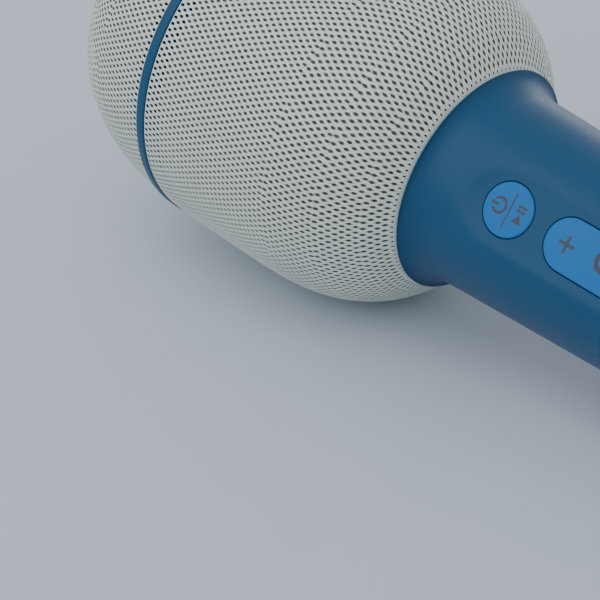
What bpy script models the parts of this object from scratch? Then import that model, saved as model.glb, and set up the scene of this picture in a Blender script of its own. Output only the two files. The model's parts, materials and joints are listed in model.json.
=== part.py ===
"""Cordless karaoke microphone with a loudspeaker in its head.

The microphone is modelled along its own axis: Z runs from the handle to the head, and Z = 0 is the
collar's front edge. An empty then lays it down on the floor, resting on its head and its tail.
"""
import math

import bmesh
import bpy
from mathutils import Matrix, Vector

MM = 0.001
GAP = 0.3

# Grille: an egg with its widest ring at EGG_WAIST.
EGG_RADIUS = 42.0
EGG_WAIST = 38.4
EGG_LOWER_LENGTH = 44.4
EGG_LOWER_POWER = 2.88
EGG_UPPER_LENGTH = 69.6
EGG_UPPER_POWER = 4.0
GRILLE_WALL = 0.9
FOAM_WALL = 2.2
FOAM_START = 1.0
RIM_LENGTH = 0.3

# Seam ring between the two grilles.
SEAM_HEIGHT = 65.2
SEAM_WIDTH = 2.4
SEAM_PROUD = 0.35
SEAM_SEAT = 3.6

# Handle tube and flared collar.
COLLAR_RADIUS = 26.6
COLLAR_LIP = 0.5
FLARE_LENGTH = 6.5
FLARE_STEPS = 9
SEAT_HEIGHT = -1.3
SHELF_RADIUS = 22.4
SHELF_HEIGHT = -4.8
HANDLE_RADIUS = 23.2
HANDLE_TAPER = 0.04
HANDLE_LENGTH = 148.0
HANDLE_WALL = 2.2
TAIL_CAP_LENGTH = 3.0
TAIL_EDGE = 1.2
TAIL_SCREW = 9.6

# Button panel, a flat on the side of the tube.
PANEL_ROLL = math.radians(-58.4)
PANEL_DEPTH = 2.0
PANEL_RADIUS = 9.8
PANEL_START = 22.0
PANEL_LENGTH = 36.2
PANEL_WALL = 2.0
BUTTON_RADIUS = 6.0
BUTTON_PROUD = 0.3
BUTTON_GAP = 0.35
BUTTON_TRAVEL = 0.6
ROCKER_RADIUS = 5.9
ROCKER_CENTRE = -26.2
ROCKER_LENGTH = 20.0
FLANGE = 1.2
BOARD_DEPTH = 7.0
KEY_FRAME_CENTRE = -19.5
KEY_FRAME_LENGTH = 58.0

# Speaker and capsule.
SPEAKER_RADIUS = 26.0
SPEAKER_FACE = 14.0
CONE_RADIUS = 20.0
COIL_RADIUS = 9.5
CAPSULE_RADIUS = 8.0
CAPSULE_BASE = 84.0
DIVIDER_HEIGHT = 58.0
NECK_OPENING = 16.8
NECK_SCREWS = 19.0
SPEAKER_SCREWS = 24.2

# Tray inside the handle, with its cell and boards.
TRAY_LOW = 4.6
TRAY_WALL = 1.6
TRAY_TOP = -16.0
TRAY_END = -140.0
CELL_RADIUS = 9.2
CELL_CENTRE = -5.0
CELL_LENGTH = 65.0
CELL_TOP = -71.0
BOARD_WALL = 1.2
BOARD_CLEARANCE = 1.0

# Inner wires.
WIRE_RADIUS = 0.6
LEAD_RADIUS = 19.4
LEAD_TURN = math.radians(30.0)
CAPSULE_SLANT = ((LEAD_RADIUS, 2.5), (27.9, 12.5), (28.2, 17.0))

# Flats round a turned shape, and steps round each end of a stadium.
BIG_SIDES = 32
SIDES = 24
FEW_SIDES = 12
ARC_STEPS = 12

MATERIALS = {
    "body_blue": ((0.026, 0.115, 0.225), 0.38, 0.0),
    "button_blue": ((0.045, 0.2, 0.45), 0.4, 0.0),
    "grille_paint": ((0.47, 0.5, 0.44), 0.5, 0.0),
    "foam_dark": ((0.02, 0.021, 0.022), 0.95, 0.0),
    "black_plastic": ((0.018, 0.018, 0.02), 0.5, 0.0),
    "steel": ((0.56, 0.57, 0.58), 0.3, 1.0),
    "magnet": ((0.06, 0.06, 0.065), 0.6, 0.0),
    "rubber": ((0.015, 0.015, 0.015), 0.8, 0.0),
    "cone_paper": ((0.05, 0.048, 0.045), 0.85, 0.0),
    "copper": ((0.75, 0.3, 0.13), 0.35, 1.0),
    "board_green": ((0.01, 0.12, 0.05), 0.45, 0.0),
    "cell_wrap": ((0.05, 0.3, 0.5), 0.4, 0.0),
    "lead_red": ((0.5, 0.02, 0.02), 0.5, 0.0),
}


def egg_radius(height):
    """Outer radius of the grille at a height above the collar edge."""
    if height < EGG_WAIST:
        part = (EGG_WAIST - height) / EGG_LOWER_LENGTH
        power = EGG_LOWER_POWER
    else:
        part = (height - EGG_WAIST) / EGG_UPPER_LENGTH
        power = EGG_UPPER_POWER
    return EGG_RADIUS * math.sqrt(max(0.0, 1.0 - part**power))


def handle_radius(height):
    """Outer radius of the handle, with the flare that makes the collar."""
    flare = min(1.0, max(0.0, 1.0 + (height + COLLAR_LIP) / FLARE_LENGTH))
    taper = HANDLE_RADIUS + HANDLE_TAPER * height
    return taper + (COLLAR_RADIUS - HANDLE_RADIUS) * (1.0 - math.sqrt(1.0 - flare**2))


def bore_radius(height):
    """Inner radius of the handle tube."""
    return HANDLE_RADIUS + HANDLE_TAPER * height - HANDLE_WALL


TAIL = -HANDLE_LENGTH - TAIL_CAP_LENGTH
TIP = EGG_WAIST + EGG_UPPER_LENGTH


def lowest(tilt):
    """How far the head and the tail reach below the axis origin when the axis rises by tilt."""
    heights = [TIP * step / 400.0 for step in range(401)]
    head = max(egg_radius(h) * math.cos(tilt) - h * math.sin(tilt) for h in heights)
    edge = TAIL + TAIL_EDGE
    tail = handle_radius(edge) * math.cos(tilt) - edge * math.sin(tilt)
    return head, tail


def lying_tilt():
    """The tilt at which the head and the tail touch the floor together."""
    low, high = 0.0, math.radians(20.0)
    for _ in range(60):
        middle = (low + high) / 2
        head, tail = lowest(middle)
        if head > tail:
            low = middle
        else:
            high = middle
    return middle


TILT = lying_tilt()


# ---------------------------------------------------------------- scene and helpers


def clear_scene():
    for thing in list(bpy.data.objects):
        bpy.data.objects.remove(thing, do_unlink=True)


def new_collection(name):
    collection = bpy.data.collections.new(name)
    bpy.context.scene.collection.children.link(collection)
    return collection


def material(name):
    if name in bpy.data.materials:
        return bpy.data.materials[name]
    colour, roughness, metallic = MATERIALS[name]
    made = bpy.data.materials.new(name)
    made.use_nodes = True
    shader = made.node_tree.nodes["Principled BSDF"]
    shader.inputs["Base Color"].default_value = (*colour, 1.0)
    shader.inputs["Roughness"].default_value = roughness
    shader.inputs["Metallic"].default_value = metallic
    made.diffuse_color = (*colour, 1.0)
    return made


class Workshop:
    """The two collections and the empties that the pieces hang on."""

    def __init__(self):
        self.parts = new_collection("karaoke_microphone")
        self.tools = new_collection("cutters")
        self.axis = self.empty("microphone_axis")
        self.axis.rotation_euler = (0.0, TILT - math.pi / 2, 0.0)
        # The tray's own axes: X out of the button side, Z towards the head.
        self.tray = self.empty("tray_axis", self.axis)
        self.tray.rotation_euler = (0.0, 0.0, PANEL_ROLL)
        self.panel = self.empty("panel_axis", self.axis)
        slope = math.atan(HANDLE_TAPER)
        depth = handle_radius(-PANEL_START) - PANEL_DEPTH
        out = Vector((math.cos(PANEL_ROLL), math.sin(PANEL_ROLL), 0.0))
        self.panel.location = (out * depth - Vector((0.0, 0.0, PANEL_START))) * MM
        # The panel's own axes: X towards the head, Z out of the panel.
        along = Vector((0.0, 0.0, math.cos(slope))) + out * math.sin(slope)
        normal = out * math.cos(slope) - Vector((0.0, 0.0, math.sin(slope)))
        turn = Matrix((along, normal.cross(along), normal)).transposed()
        self.panel.rotation_euler = turn.to_euler()

    def empty(self, name, parent=None):
        holder = bpy.data.objects.new(name, None)
        self.tools.objects.link(holder)
        holder.parent = parent
        return holder

    def add(self, name, mesh, look, parent, place=(0.0, 0.0, 0.0), turn=(0.0, 0.0, 0.0)):
        piece = bpy.data.objects.new(name, mesh)
        self.parts.objects.link(piece)
        piece.parent = parent
        piece.location = Vector(place) * MM
        piece.rotation_euler = turn
        mesh.materials.clear()
        mesh.materials.append(material(look))
        smooth(mesh)
        return piece

    def cutter(self, name, mesh, parent, place=(0.0, 0.0, 0.0)):
        piece = bpy.data.objects.new(name, mesh)
        self.tools.objects.link(piece)
        piece.parent = parent
        piece.location = Vector(place) * MM
        piece.hide_render = True
        piece.display_type = "WIRE"
        return piece


def smooth(mesh):
    mesh.shade_smooth()
    mesh.set_sharp_from_angle(angle=math.radians(35.0))


def boolean(piece, tool, operation="DIFFERENCE"):
    step = piece.modifiers.new(tool.name, "BOOLEAN")
    step.operation = operation
    step.solver = "EXACT"
    step.object = tool
    return step


# ---------------------------------------------------------------- shapes, in millimetres


def turned(profile, sides=BIG_SIDES):
    """A closed solid turned about Z from an outline of (radius, height) points.

    The outline runs round the section. Points at radius 0 close the ends. The flats touch the true
    circle, and one flat faces -X, so that the piece rests on a flat when it lies down.
    """
    mesh = bpy.data.meshes.new("turned")
    shape = bmesh.new()
    grow = 1.0 / math.cos(math.pi / sides)
    start = math.pi / sides
    points = [shape.verts.new((r * grow * MM, 0.0, z * MM)) for r, z in profile]
    edges = [shape.edges.new(pair) for pair in zip(points, points[1:])]
    closed = profile[0][0] > 0 or profile[-1][0] > 0
    if closed:
        edges.append(shape.edges.new((points[-1], points[0])))
    bmesh.ops.rotate(shape, verts=points, cent=(0, 0, 0), matrix=Matrix.Rotation(start, 3, "Z"))
    bmesh.ops.spin(
        shape,
        geom=points + edges,
        cent=(0, 0, 0),
        axis=(0, 0, 1),
        angle=math.tau,
        steps=sides,
        use_merge=True,
        use_duplicate=False,
    )
    bmesh.ops.remove_doubles(shape, verts=shape.verts[:], dist=1e-7)
    bmesh.ops.recalc_face_normals(shape, faces=shape.faces[:])
    shape.to_mesh(mesh)
    shape.free()
    return mesh


def disc(radius, low, high, sides=SIDES):
    """A plain turned cylinder from low to high."""
    return turned([(0, high), (radius, high), (radius, low), (0, low)], sides)


def ring(inner, outer, low, high, sides=SIDES):
    return turned([(inner, high), (outer, high), (outer, low), (inner, low)], sides)


def screw(shank, head, seat, length, head_height=1.0):
    """A screw whose head's inner face is at seat, pointing up."""
    return turned(
        [
            (0, seat + length),
            (shank, seat + length),
            (shank, seat),
            (head, seat),
            (head, seat - head_height),
            (0, seat - head_height),
        ],
        FEW_SIDES,
    )


def block(size, centre=(0.0, 0.0, 0.0), bevel=0.0):
    """A box of the given size, with its edges rounded where bevel is given."""
    mesh = bpy.data.meshes.new("block")
    shape = bmesh.new()
    bmesh.ops.create_cube(shape, size=1.0)
    bmesh.ops.scale(shape, vec=Vector(size) * MM, verts=shape.verts[:])
    bmesh.ops.translate(shape, vec=Vector(centre) * MM, verts=shape.verts[:])
    if bevel:
        bmesh.ops.bevel(
            shape,
            geom=shape.edges[:],
            offset=bevel * MM,
            segments=1,
            affect="EDGES",
        )
    shape.to_mesh(mesh)
    shape.free()
    return mesh


def stadium(radius, length, low, high, crown=0.0, centre=0.0):
    """A prism with round ends along X. crown rounds its top edge."""
    levels = [(radius, low), (radius, high - crown)]
    if crown:
        levels.append((radius - 0.3 * crown, high - 0.3 * crown))
        levels.append((radius - crown, high))
    mesh = bpy.data.meshes.new("stadium")
    shape = bmesh.new()
    loops = []
    for r, z in levels:
        loop = []
        for end in (1, -1):
            for step in range(ARC_STEPS + 1):
                angle = math.pi * (step / ARC_STEPS - 0.5) + (0 if end == 1 else math.pi)
                x = centre + end * length / 2 + r * math.cos(angle)
                loop.append(shape.verts.new((x * MM, r * math.sin(angle) * MM, z * MM)))
        loops.append(loop)
    for under, over in zip(loops, loops[1:]):
        for index in range(len(under)):
            follow = (index + 1) % len(under)
            shape.faces.new((under[index], under[follow], over[follow], over[index]))
    shape.faces.new(list(reversed(loops[0])))
    shape.faces.new(loops[-1])
    shape.to_mesh(mesh)
    shape.free()
    return mesh


def smooth_route(places, steps):
    """A smooth curve through the places, with a number of steps between each two."""
    places = [Vector(place) for place in places]
    route = []
    for index in range(len(places) - 1):
        p1, p2 = places[index], places[index + 1]
        p0 = places[max(index - 1, 0)]
        p3 = places[min(index + 2, len(places) - 1)]
        for step in range(steps):
            t = step / steps
            route.append(
                0.5
                * (
                    2 * p1
                    + (p2 - p0) * t
                    + (2 * p0 - 5 * p1 + 4 * p2 - p3) * t**2
                    + (3 * p1 - p0 - 3 * p2 + p3) * t**3
                )
            )
    return route + [places[-1]]


def tube(places, radius, steps=3):
    """A closed round tube along a smooth route through the places."""
    curve = bpy.data.curves.new("tube", "CURVE")
    curve.dimensions = "3D"
    curve.bevel_depth = radius * MM
    curve.bevel_resolution = 1
    curve.use_fill_caps = True
    route = smooth_route(places, steps)
    line = curve.splines.new("POLY")
    line.points.add(len(route) - 1)
    for point, place in zip(line.points, route):
        point.co = (*(place * MM), 1.0)
    holder = bpy.data.objects.new("tube", curve)
    bpy.context.scene.collection.objects.link(holder)
    mesh = bake(holder, [])
    shape = bmesh.new()
    shape.from_mesh(mesh)
    bmesh.ops.remove_doubles(shape, verts=shape.verts[:], dist=1e-6)
    bmesh.ops.recalc_face_normals(shape, faces=shape.faces[:])
    shape.to_mesh(mesh)
    shape.free()
    return mesh


def merge(*meshes):
    """Several touching or overlapping solids as one, by Boolean union."""
    scene = bpy.context.scene.collection
    first = bpy.data.objects.new("merge_base", meshes[0])
    scene.objects.link(first)
    extras = []
    for index, mesh in enumerate(meshes[1:]):
        extra = bpy.data.objects.new(f"merge_{index}", mesh)
        scene.objects.link(extra)
        boolean(first, extra, "UNION")
        extras.append(extra)
    return bake(first, extras)


def cut(mesh, *tools):
    """A solid with other solids taken away."""
    scene = bpy.context.scene.collection
    first = bpy.data.objects.new("cut_base", mesh)
    scene.objects.link(first)
    extras = []
    for index, tool in enumerate(tools):
        extra = bpy.data.objects.new(f"cut_{index}", tool)
        scene.objects.link(extra)
        boolean(first, extra)
        extras.append(extra)
    return bake(first, extras)


def bake(first, extras):
    bpy.context.view_layer.update()
    graph = bpy.context.evaluated_depsgraph_get()
    result = bpy.data.meshes.new_from_object(first.evaluated_get(graph))
    for thing in [first] + extras:
        bpy.data.objects.remove(thing, do_unlink=True)
    return result


def moved(mesh, x=0.0, y=0.0, z=0.0):
    """The mesh shifted by millimetres."""
    for vertex in mesh.vertices:
        vertex.co += Vector((x, y, z)) * MM
    return mesh


def around(count, radius, start=0.0):
    """Evenly spaced places on a circle, as (x, y)."""
    for index in range(count):
        angle = start + math.tau * index / count
        yield radius * math.cos(angle), radius * math.sin(angle)


# ---------------------------------------------------------------- casing


def grille_outline(low, high, steps, inset=0.0):
    """Points of the egg's outline between two heights, moved inwards by inset."""
    points = []
    for step in range(steps + 1):
        height = low + (high - low) * step / steps
        before, after = egg_radius(height - 0.05), egg_radius(min(height + 0.05, TIP))
        lean = math.atan2(before - after, 0.1)
        points.append(
            (
                egg_radius(height) - inset * math.cos(lean),
                height - inset * math.sin(lean),
            )
        )
    return points


def dome_outline(low, steps, inset=0.0):
    """The egg's outline from a height up to its tip, moved inwards by inset."""
    first = math.acos(min(1.0, ((low - EGG_WAIST) / EGG_UPPER_LENGTH) ** 2))
    points = []
    for step in range(steps):
        angle = first * (1 - step / steps)
        height = EGG_WAIST + EGG_UPPER_LENGTH * math.sqrt(math.cos(angle))
        points += grille_outline(height, height, 1, inset)[:1]
    return points + [(0.0, TIP - inset)]


def lower_grille(shop):
    top = SEAM_HEIGHT - SEAM_WIDTH / 2 - GAP
    rim = egg_radius(0.0)
    outside = [(rim, -RIM_LENGTH)] + grille_outline(0.0, top, 11)
    inside = [(rim - GRILLE_WALL, -RIM_LENGTH)] + grille_outline(0.4, top, 9, GRILLE_WALL)
    mesh = turned(list(reversed(outside)) + inside)
    shop.add("lower_grille", mesh, "grille_paint", shop.axis)


def upper_grille(shop):
    low = SEAM_HEIGHT + SEAM_WIDTH / 2 + GAP
    outside = dome_outline(low, 10)
    inside = dome_outline(low, 8, GRILLE_WALL)
    mesh = turned(list(reversed(outside)) + inside)
    shop.add("upper_grille", mesh, "grille_paint", shop.axis)


def seam_ring(shop):
    """A band that shows between the grilles, on a seat that both slide over."""
    outer = egg_radius(SEAM_HEIGHT) + SEAM_PROUD
    seat = egg_radius(SEAM_HEIGHT + SEAM_SEAT) - GRILLE_WALL - GAP
    low, high = SEAM_HEIGHT - SEAM_WIDTH / 2, SEAM_HEIGHT + SEAM_WIDTH / 2
    section = [
        (seat, high + SEAM_SEAT / 2),
        (seat, high),
        (outer - 0.3, high),
        (outer, high - 0.4),
        (outer, low + 0.4),
        (outer - 0.3, low),
        (seat, low),
        (seat, low - SEAM_SEAT / 2),
        (seat - 1.4, low - SEAM_SEAT / 2),
        (seat - 1.4, high + SEAM_SEAT / 2),
    ]
    shop.add("seam_ring", turned(section), "body_blue", shop.axis)


def foams(shop):
    """Acoustic liners that lie behind each grille."""
    inset = GRILLE_WALL + 2 * GAP
    low, high = FOAM_START, SEAM_HEIGHT - SEAM_WIDTH / 2 - SEAM_SEAT / 2 - 1.5
    outside = grille_outline(low, high, 16, inset)
    inside = grille_outline(low, high, 16, inset + FOAM_WALL)
    mesh = turned(list(reversed(outside)) + inside)
    shop.add("lower_foam", mesh, "foam_dark", shop.axis)
    low = SEAM_HEIGHT + SEAM_WIDTH / 2 + SEAM_SEAT / 2 + 1.5
    outside = dome_outline(low, 6, inset)
    inside = dome_outline(low, 6, inset + FOAM_WALL)
    mesh = turned(list(reversed(outside)) + inside)
    shop.add("upper_foam", mesh, "foam_dark", shop.axis)


def panel_cutter(shop, name, radius, low, high):
    """A stadium block over the button panel, from low to high above the panel's face."""
    mesh = stadium(radius, PANEL_LENGTH, low, high, centre=-PANEL_LENGTH / 2)
    return shop.cutter(name, mesh, shop.panel)


def handle_shell(shop):
    outer = [(0.0, 0.0), (COLLAR_RADIUS - COLLAR_LIP, 0.0)]
    for step in range(FLARE_STEPS):
        part = math.sin(math.pi / 2 * (1.0 - step / (FLARE_STEPS - 1)))
        height = -COLLAR_LIP - FLARE_LENGTH * (1.0 - part)
        outer.append((handle_radius(height), height))
    outer += [(handle_radius(-HANDLE_LENGTH), -HANDLE_LENGTH), (0.0, -HANDLE_LENGTH)]
    shell = shop.add("handle_shell", turned(outer), "body_blue", shop.axis)
    boolean(shell, panel_cutter(shop, "panel_flat", PANEL_RADIUS, 0.0, 12.0))
    rebate = egg_radius(0.0) + GAP
    seat = rebate - GRILLE_WALL - GAP
    past = -HANDLE_LENGTH - 2.0
    inner = [
        (0.0, 2.0),
        (rebate, 2.0),
        (rebate, -RIM_LENGTH - GAP),
        (seat, -RIM_LENGTH - GAP),
        (seat, SEAT_HEIGHT),
        (SHELF_RADIUS, SEAT_HEIGHT),
        (SHELF_RADIUS, SHELF_HEIGHT),
        (bore_radius(SHELF_HEIGHT), SHELF_HEIGHT),
        (bore_radius(past), past),
        (0.0, past),
    ]
    hollow = shop.cutter("bore", turned(inner), shop.axis)
    boolean(hollow, panel_cutter(shop, "panel_pad", PANEL_RADIUS + 1.6, -PANEL_WALL, 14.0))
    hole = disc(BUTTON_RADIUS + BUTTON_GAP, -6.0, 4.0, BIG_SIDES)
    boolean(hollow, shop.cutter("power_hole", hole, shop.panel), "UNION")
    slot = stadium(ROCKER_RADIUS + BUTTON_GAP, ROCKER_LENGTH, -6.0, 4.0, centre=ROCKER_CENTRE)
    boolean(hollow, shop.cutter("rocker_hole", slot, shop.panel), "UNION")
    boolean(shell, hollow)


def tail_cap(shop):
    """Plug with a flat end face, an inlet for the charging socket and two screw holes."""
    outer = handle_radius(TAIL)
    plug = bore_radius(-HANDLE_LENGTH) - GAP
    top = TAIL + TAIL_CAP_LENGTH - GAP
    section = [
        (0, top),
        (plug - 1.8, top),
        (plug - 1.8, top + 6.0),
        (plug, top + 6.0),
        (plug, top),
        (outer, top),
        (outer, TAIL + TAIL_EDGE),
        (outer - 0.35 * TAIL_EDGE, TAIL + 0.35 * TAIL_EDGE),
        (outer - TAIL_EDGE, TAIL),
        (0, TAIL),
    ]
    cap = shop.add("tail_cap", turned(section), "body_blue", shop.axis)
    inlet = block((4.0, 9.8, 8.0), (0.0, 0.0, TAIL))
    boolean(cap, shop.cutter("inlet_cutter", inlet, shop.tray))
    for index, side in enumerate((-1, 1)):
        place = (side * TAIL_SCREW, 0.0, 0.0)
        hole = screw(1.3, 2.3, TAIL + 1.3, 6.0, 3.0)
        boolean(cap, shop.cutter(f"tail_screw_hole_{index}", hole, shop.tray, place))


# ---------------------------------------------------------------- head


def lead_place(radius, side):
    """The point at a radius where a lead passes the neck, on one side of the button plane."""
    return radius * math.cos(LEAD_TURN), side * radius * math.sin(LEAD_TURN)


def neck_flange(shop):
    """Ring that sits on the handle's shelf and stands inside the lower grille's rim."""
    rim = egg_radius(0.0) - GRILLE_WALL - GAP
    foot = SHELF_RADIUS - GAP
    section = [
        (rim, 1.0),
        (rim, SEAT_HEIGHT + GAP),
        (foot, SEAT_HEIGHT),
        (foot, SHELF_HEIGHT + GAP),
        (NECK_OPENING, SHELF_HEIGHT + GAP),
        (NECK_OPENING, -0.7),
        (rim - 0.6, -0.7),
        (rim - 0.6, 1.0),
    ]
    flange = shop.add("neck_flange", turned(section), "black_plastic", shop.axis)
    for index, (x, y) in enumerate(around(3, NECK_SCREWS)):
        hole = disc(1.25, -14.0, 2.0, FEW_SIDES)
        boolean(flange, shop.cutter(f"neck_hole_{index}", hole, shop.axis, (x, y, 0.0)))
    for index, side in enumerate((-1, 1)):
        x, y = lead_place(LEAD_RADIUS, side)
        hole = disc(1.3, -14.0, 2.0, FEW_SIDES)
        boolean(flange, shop.cutter(f"flange_lead_{index}", hole, shop.tray, (x, y, 0.0)))


def head_cage(shop):
    """Tub that carries the speaker, with three pillars up to the divider plate."""
    rim = SPEAKER_RADIUS + 4.0
    top = SPEAKER_FACE - 1.4 - GAP
    seat = CONE_RADIUS + 2.9
    tub = turned(
        [
            (rim, top),
            (rim, top - 2.6),
            (22.2, 3.0),
            (22.2, -0.4),
            (NECK_OPENING + 0.4, -0.4),
            (NECK_OPENING + 0.4, 1.0),
            (seat, top - 2.2),
            (seat, top),
        ],
        SIDES,
    )
    pillars = []
    for x, y in around(3, SPEAKER_RADIUS + 2.6, math.radians(60.0)):
        pillars.append(moved(disc(2.0, top - 1.5, DIVIDER_HEIGHT - GAP, FEW_SIDES), x, y))
    cage = shop.add("head_cage", merge(tub, *pillars), "black_plastic", shop.axis)
    for index, (x, y) in enumerate(around(3, NECK_SCREWS)):
        hole = disc(1.25, -4.0, 12.0, FEW_SIDES)
        boolean(cage, shop.cutter(f"cage_hole_{index}", hole, shop.axis, (x, y, 0.0)))
    for index, (x, y) in enumerate(around(4, SPEAKER_SCREWS)):
        hole = disc(0.9, SPEAKER_FACE - 8.0, SPEAKER_FACE + 4.0, FEW_SIDES)
        boolean(cage, shop.cutter(f"speaker_hole_{index}", hole, shop.axis, (x, y, 0.0)))
    x, y = lead_place(LEAD_RADIUS, 1)
    hole = disc(1.3, -4.0, 8.0, FEW_SIDES)
    boolean(cage, shop.cutter("cage_lead_0", hole, shop.tray, (x, y, 0.0)))
    slant = [(*lead_place(r, -1), z) for r, z in CAPSULE_SLANT]
    x, y, z = slant[0]
    hole = tube([(x, y, z - 4.0), *slant], 1.3, 2)
    boolean(cage, shop.cutter("cage_lead_1", hole, shop.tray))


def divider_plate(shop):
    """Plate that closes the speaker's room and carries the capsule."""
    low = DIVIDER_HEIGHT
    outer = egg_radius(low) - GRILLE_WALL - GAP - FOAM_WALL - 1.2
    section = [
        (11.6, low + 2.0),
        (outer, low + 2.0),
        (outer, low),
        (3.0, low),
        (3.0, low + 1.0),
        (11.6, low + 1.0),
    ]
    shop.add("divider_plate", turned(section), "black_plastic", shop.axis)


def speaker(shop):
    face = SPEAKER_FACE
    basket = turned(
        [
            (SPEAKER_RADIUS, face),
            (SPEAKER_RADIUS, face - 1.4),
            (CONE_RADIUS + 0.6, face - 1.7),
            (14.6, -1.6),
            (COIL_RADIUS + 0.9, -1.6),
            (COIL_RADIUS + 0.9, -0.6),
            (13.6, -0.6),
            (CONE_RADIUS + 0.2, face - 1.2),
            (CONE_RADIUS + 2.6, face - 0.9),
            (CONE_RADIUS + 2.6, face),
        ],
        SIDES,
    )
    piece = shop.add("speaker_basket", basket, "steel", shop.axis)
    for index, (x, y) in enumerate(around(4, SPEAKER_SCREWS)):
        hole = disc(1.15, face - 4.0, face + 4.0, FEW_SIDES)
        boolean(piece, shop.cutter(f"basket_hole_{index}", hole, shop.axis, (x, y, 0.0)))
    shop.add("speaker_magnet", ring(11.2, 16.0, -8.0, -1.9), "magnet", shop.axis)
    yoke = turned(
        [
            (0, -1.0),
            (COIL_RADIUS - 0.8, -1.0),
            (COIL_RADIUS - 0.8, -8.3),
            (15.0, -8.3),
            (15.0, -11.0),
            (0, -11.0),
        ],
        SIDES,
    )
    shop.add("magnet_yoke", yoke, "steel", shop.axis)
    roll = turned(
        [
            (CONE_RADIUS + 2.2, face - 0.7),
            (CONE_RADIUS + 2.2, face),
            (CONE_RADIUS + 1.6, face + 0.9),
            (CONE_RADIUS + 0.2, face + 1.3),
            (CONE_RADIUS - 0.8, face + 0.6),
            (CONE_RADIUS - 0.8, face),
            (CONE_RADIUS + 0.2, face + 0.6),
            (CONE_RADIUS + 1.3, face + 0.3),
        ],
        SIDES,
    )
    shop.add("speaker_surround", roll, "rubber", shop.axis)
    edge = CONE_RADIUS - 1.2
    cone = turned(
        [
            (edge, face + 0.4),
            (edge, face - 0.4),
            (COIL_RADIUS + 0.5, 2.6),
            (COIL_RADIUS - 0.2, 2.6),
            (COIL_RADIUS - 0.2, 3.2),
            (edge - 0.7, face + 0.4),
        ],
        SIDES,
    )
    shop.add("speaker_cone", cone, "cone_paper", shop.axis)
    cap = turned(
        [
            (0, 7.4),
            (4.4, 6.7),
            (COIL_RADIUS - 1.0, 4.1),
            (COIL_RADIUS - 1.0, 3.5),
            (4.2, 6.0),
            (0, 6.7),
        ],
        SIDES,
    )
    shop.add("dust_cap", cap, "cone_paper", shop.axis)
    coil = ring(COIL_RADIUS - 0.4, COIL_RADIUS + 0.4, -6.0, 2.3)
    shop.add("voice_coil", coil, "copper", shop.axis)


def capsule(shop):
    low = DIVIDER_HEIGHT + 1.3
    base = CAPSULE_BASE
    holder = turned(
        [
            (11.3, low),
            (2.6, low),
            (2.6, low + 1.6),
            (6.8, low + 3.2),
            (6.8, base - 1.4),
            (CAPSULE_RADIUS + 1.6, base - 1.4),
            (CAPSULE_RADIUS + 1.6, base + 6.0),
            (CAPSULE_RADIUS + 3.0, base + 6.0),
            (CAPSULE_RADIUS + 3.0, base - 3.0),
            (8.4, base - 3.4),
            (8.4, low + 2.2),
            (11.3, low + 1.4),
        ],
        SIDES,
    )
    shop.add("capsule_holder", holder, "black_plastic", shop.axis)
    cushion = turned(
        [
            (CAPSULE_RADIUS + GAP, base + 6.5),
            (CAPSULE_RADIUS + 1.3, base + 6.5),
            (CAPSULE_RADIUS + 1.3, base - 1.0),
            (5.0, base - 1.0),
            (5.0, base - GAP),
            (CAPSULE_RADIUS + GAP, base - GAP),
        ],
        SIDES,
    )
    shop.add("capsule_cushion", cushion, "rubber", shop.axis)
    body = turned(
        [
            (0, base + 8.0),
            (CAPSULE_RADIUS - 0.8, base + 8.0),
            (CAPSULE_RADIUS, base + 7.2),
            (CAPSULE_RADIUS, base),
            (0, base),
        ],
        SIDES,
    )
    shop.add("mic_capsule", body, "steel", shop.axis)


# ---------------------------------------------------------------- buttons


def power_button(shop):
    cap = turned(
        [
            (0, BUTTON_PROUD),
            (BUTTON_RADIUS - 0.5, BUTTON_PROUD),
            (BUTTON_RADIUS - 0.12, BUTTON_PROUD - 0.15),
            (BUTTON_RADIUS, BUTTON_PROUD - 0.5),
            (BUTTON_RADIUS, -PANEL_WALL - GAP),
            (BUTTON_RADIUS + FLANGE, -PANEL_WALL - GAP),
            (BUTTON_RADIUS + FLANGE, -PANEL_WALL - 1.1),
            (0, -PANEL_WALL - 1.1),
        ],
        32,
    )
    shop.add("power_button", cap, "button_blue", shop.panel)


def volume_rocker(shop):
    """Oblong key with a rib under its middle, notched to sit on the cradle's ridge."""
    under = -PANEL_WALL - 0.3
    cap = stadium(ROCKER_RADIUS, ROCKER_LENGTH, under, BUTTON_PROUD, crown=0.45)
    skirt = stadium(ROCKER_RADIUS + FLANGE, ROCKER_LENGTH - 2.0, under - 0.7, under - 0.4)
    neck = stadium(ROCKER_RADIUS - 0.4, ROCKER_LENGTH - 2.0, under - 0.7, under + 0.3)
    mesh = merge(cap, neck, skirt)
    notch = block((1.6, 20.0, 0.8), (0.0, 0.0, under - 0.7))
    rocker = shop.add("volume_rocker", cut(mesh, notch), "button_blue", shop.panel)
    rocker.location = Vector((ROCKER_CENTRE, 0.0, 0.0)) * MM


def rocker_cradle(shop):
    """Bar under the rocker's middle with a pivot ridge on top."""
    top = -PANEL_WALL - 1.8
    plate = block((6.0, 9.6, 0.9), (0.0, 0.0, top - 0.45))
    ridge = block((0.9, 9.0, 1.0), (0.0, 0.0, top + 0.2))
    shop.add(
        "rocker_cradle",
        merge(plate, ridge),
        "black_plastic",
        shop.panel,
        (ROCKER_CENTRE, 0.0, 0.0),
    )


def switch(shop, name, x, stem_top):
    """Tact switch: a square body with a round stem, standing on the button board."""
    floor = -BOARD_DEPTH
    top = stem_top - 0.5
    body = block((6.0, 6.0, top - floor - GAP), (0.0, 0.0, (top + floor + GAP) / 2))
    stem = disc(1.6, top - 0.4, stem_top, FEW_SIDES)
    shop.add(name, merge(body, stem), "black_plastic", shop.panel, (x, 0.0, 0.0))


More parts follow.
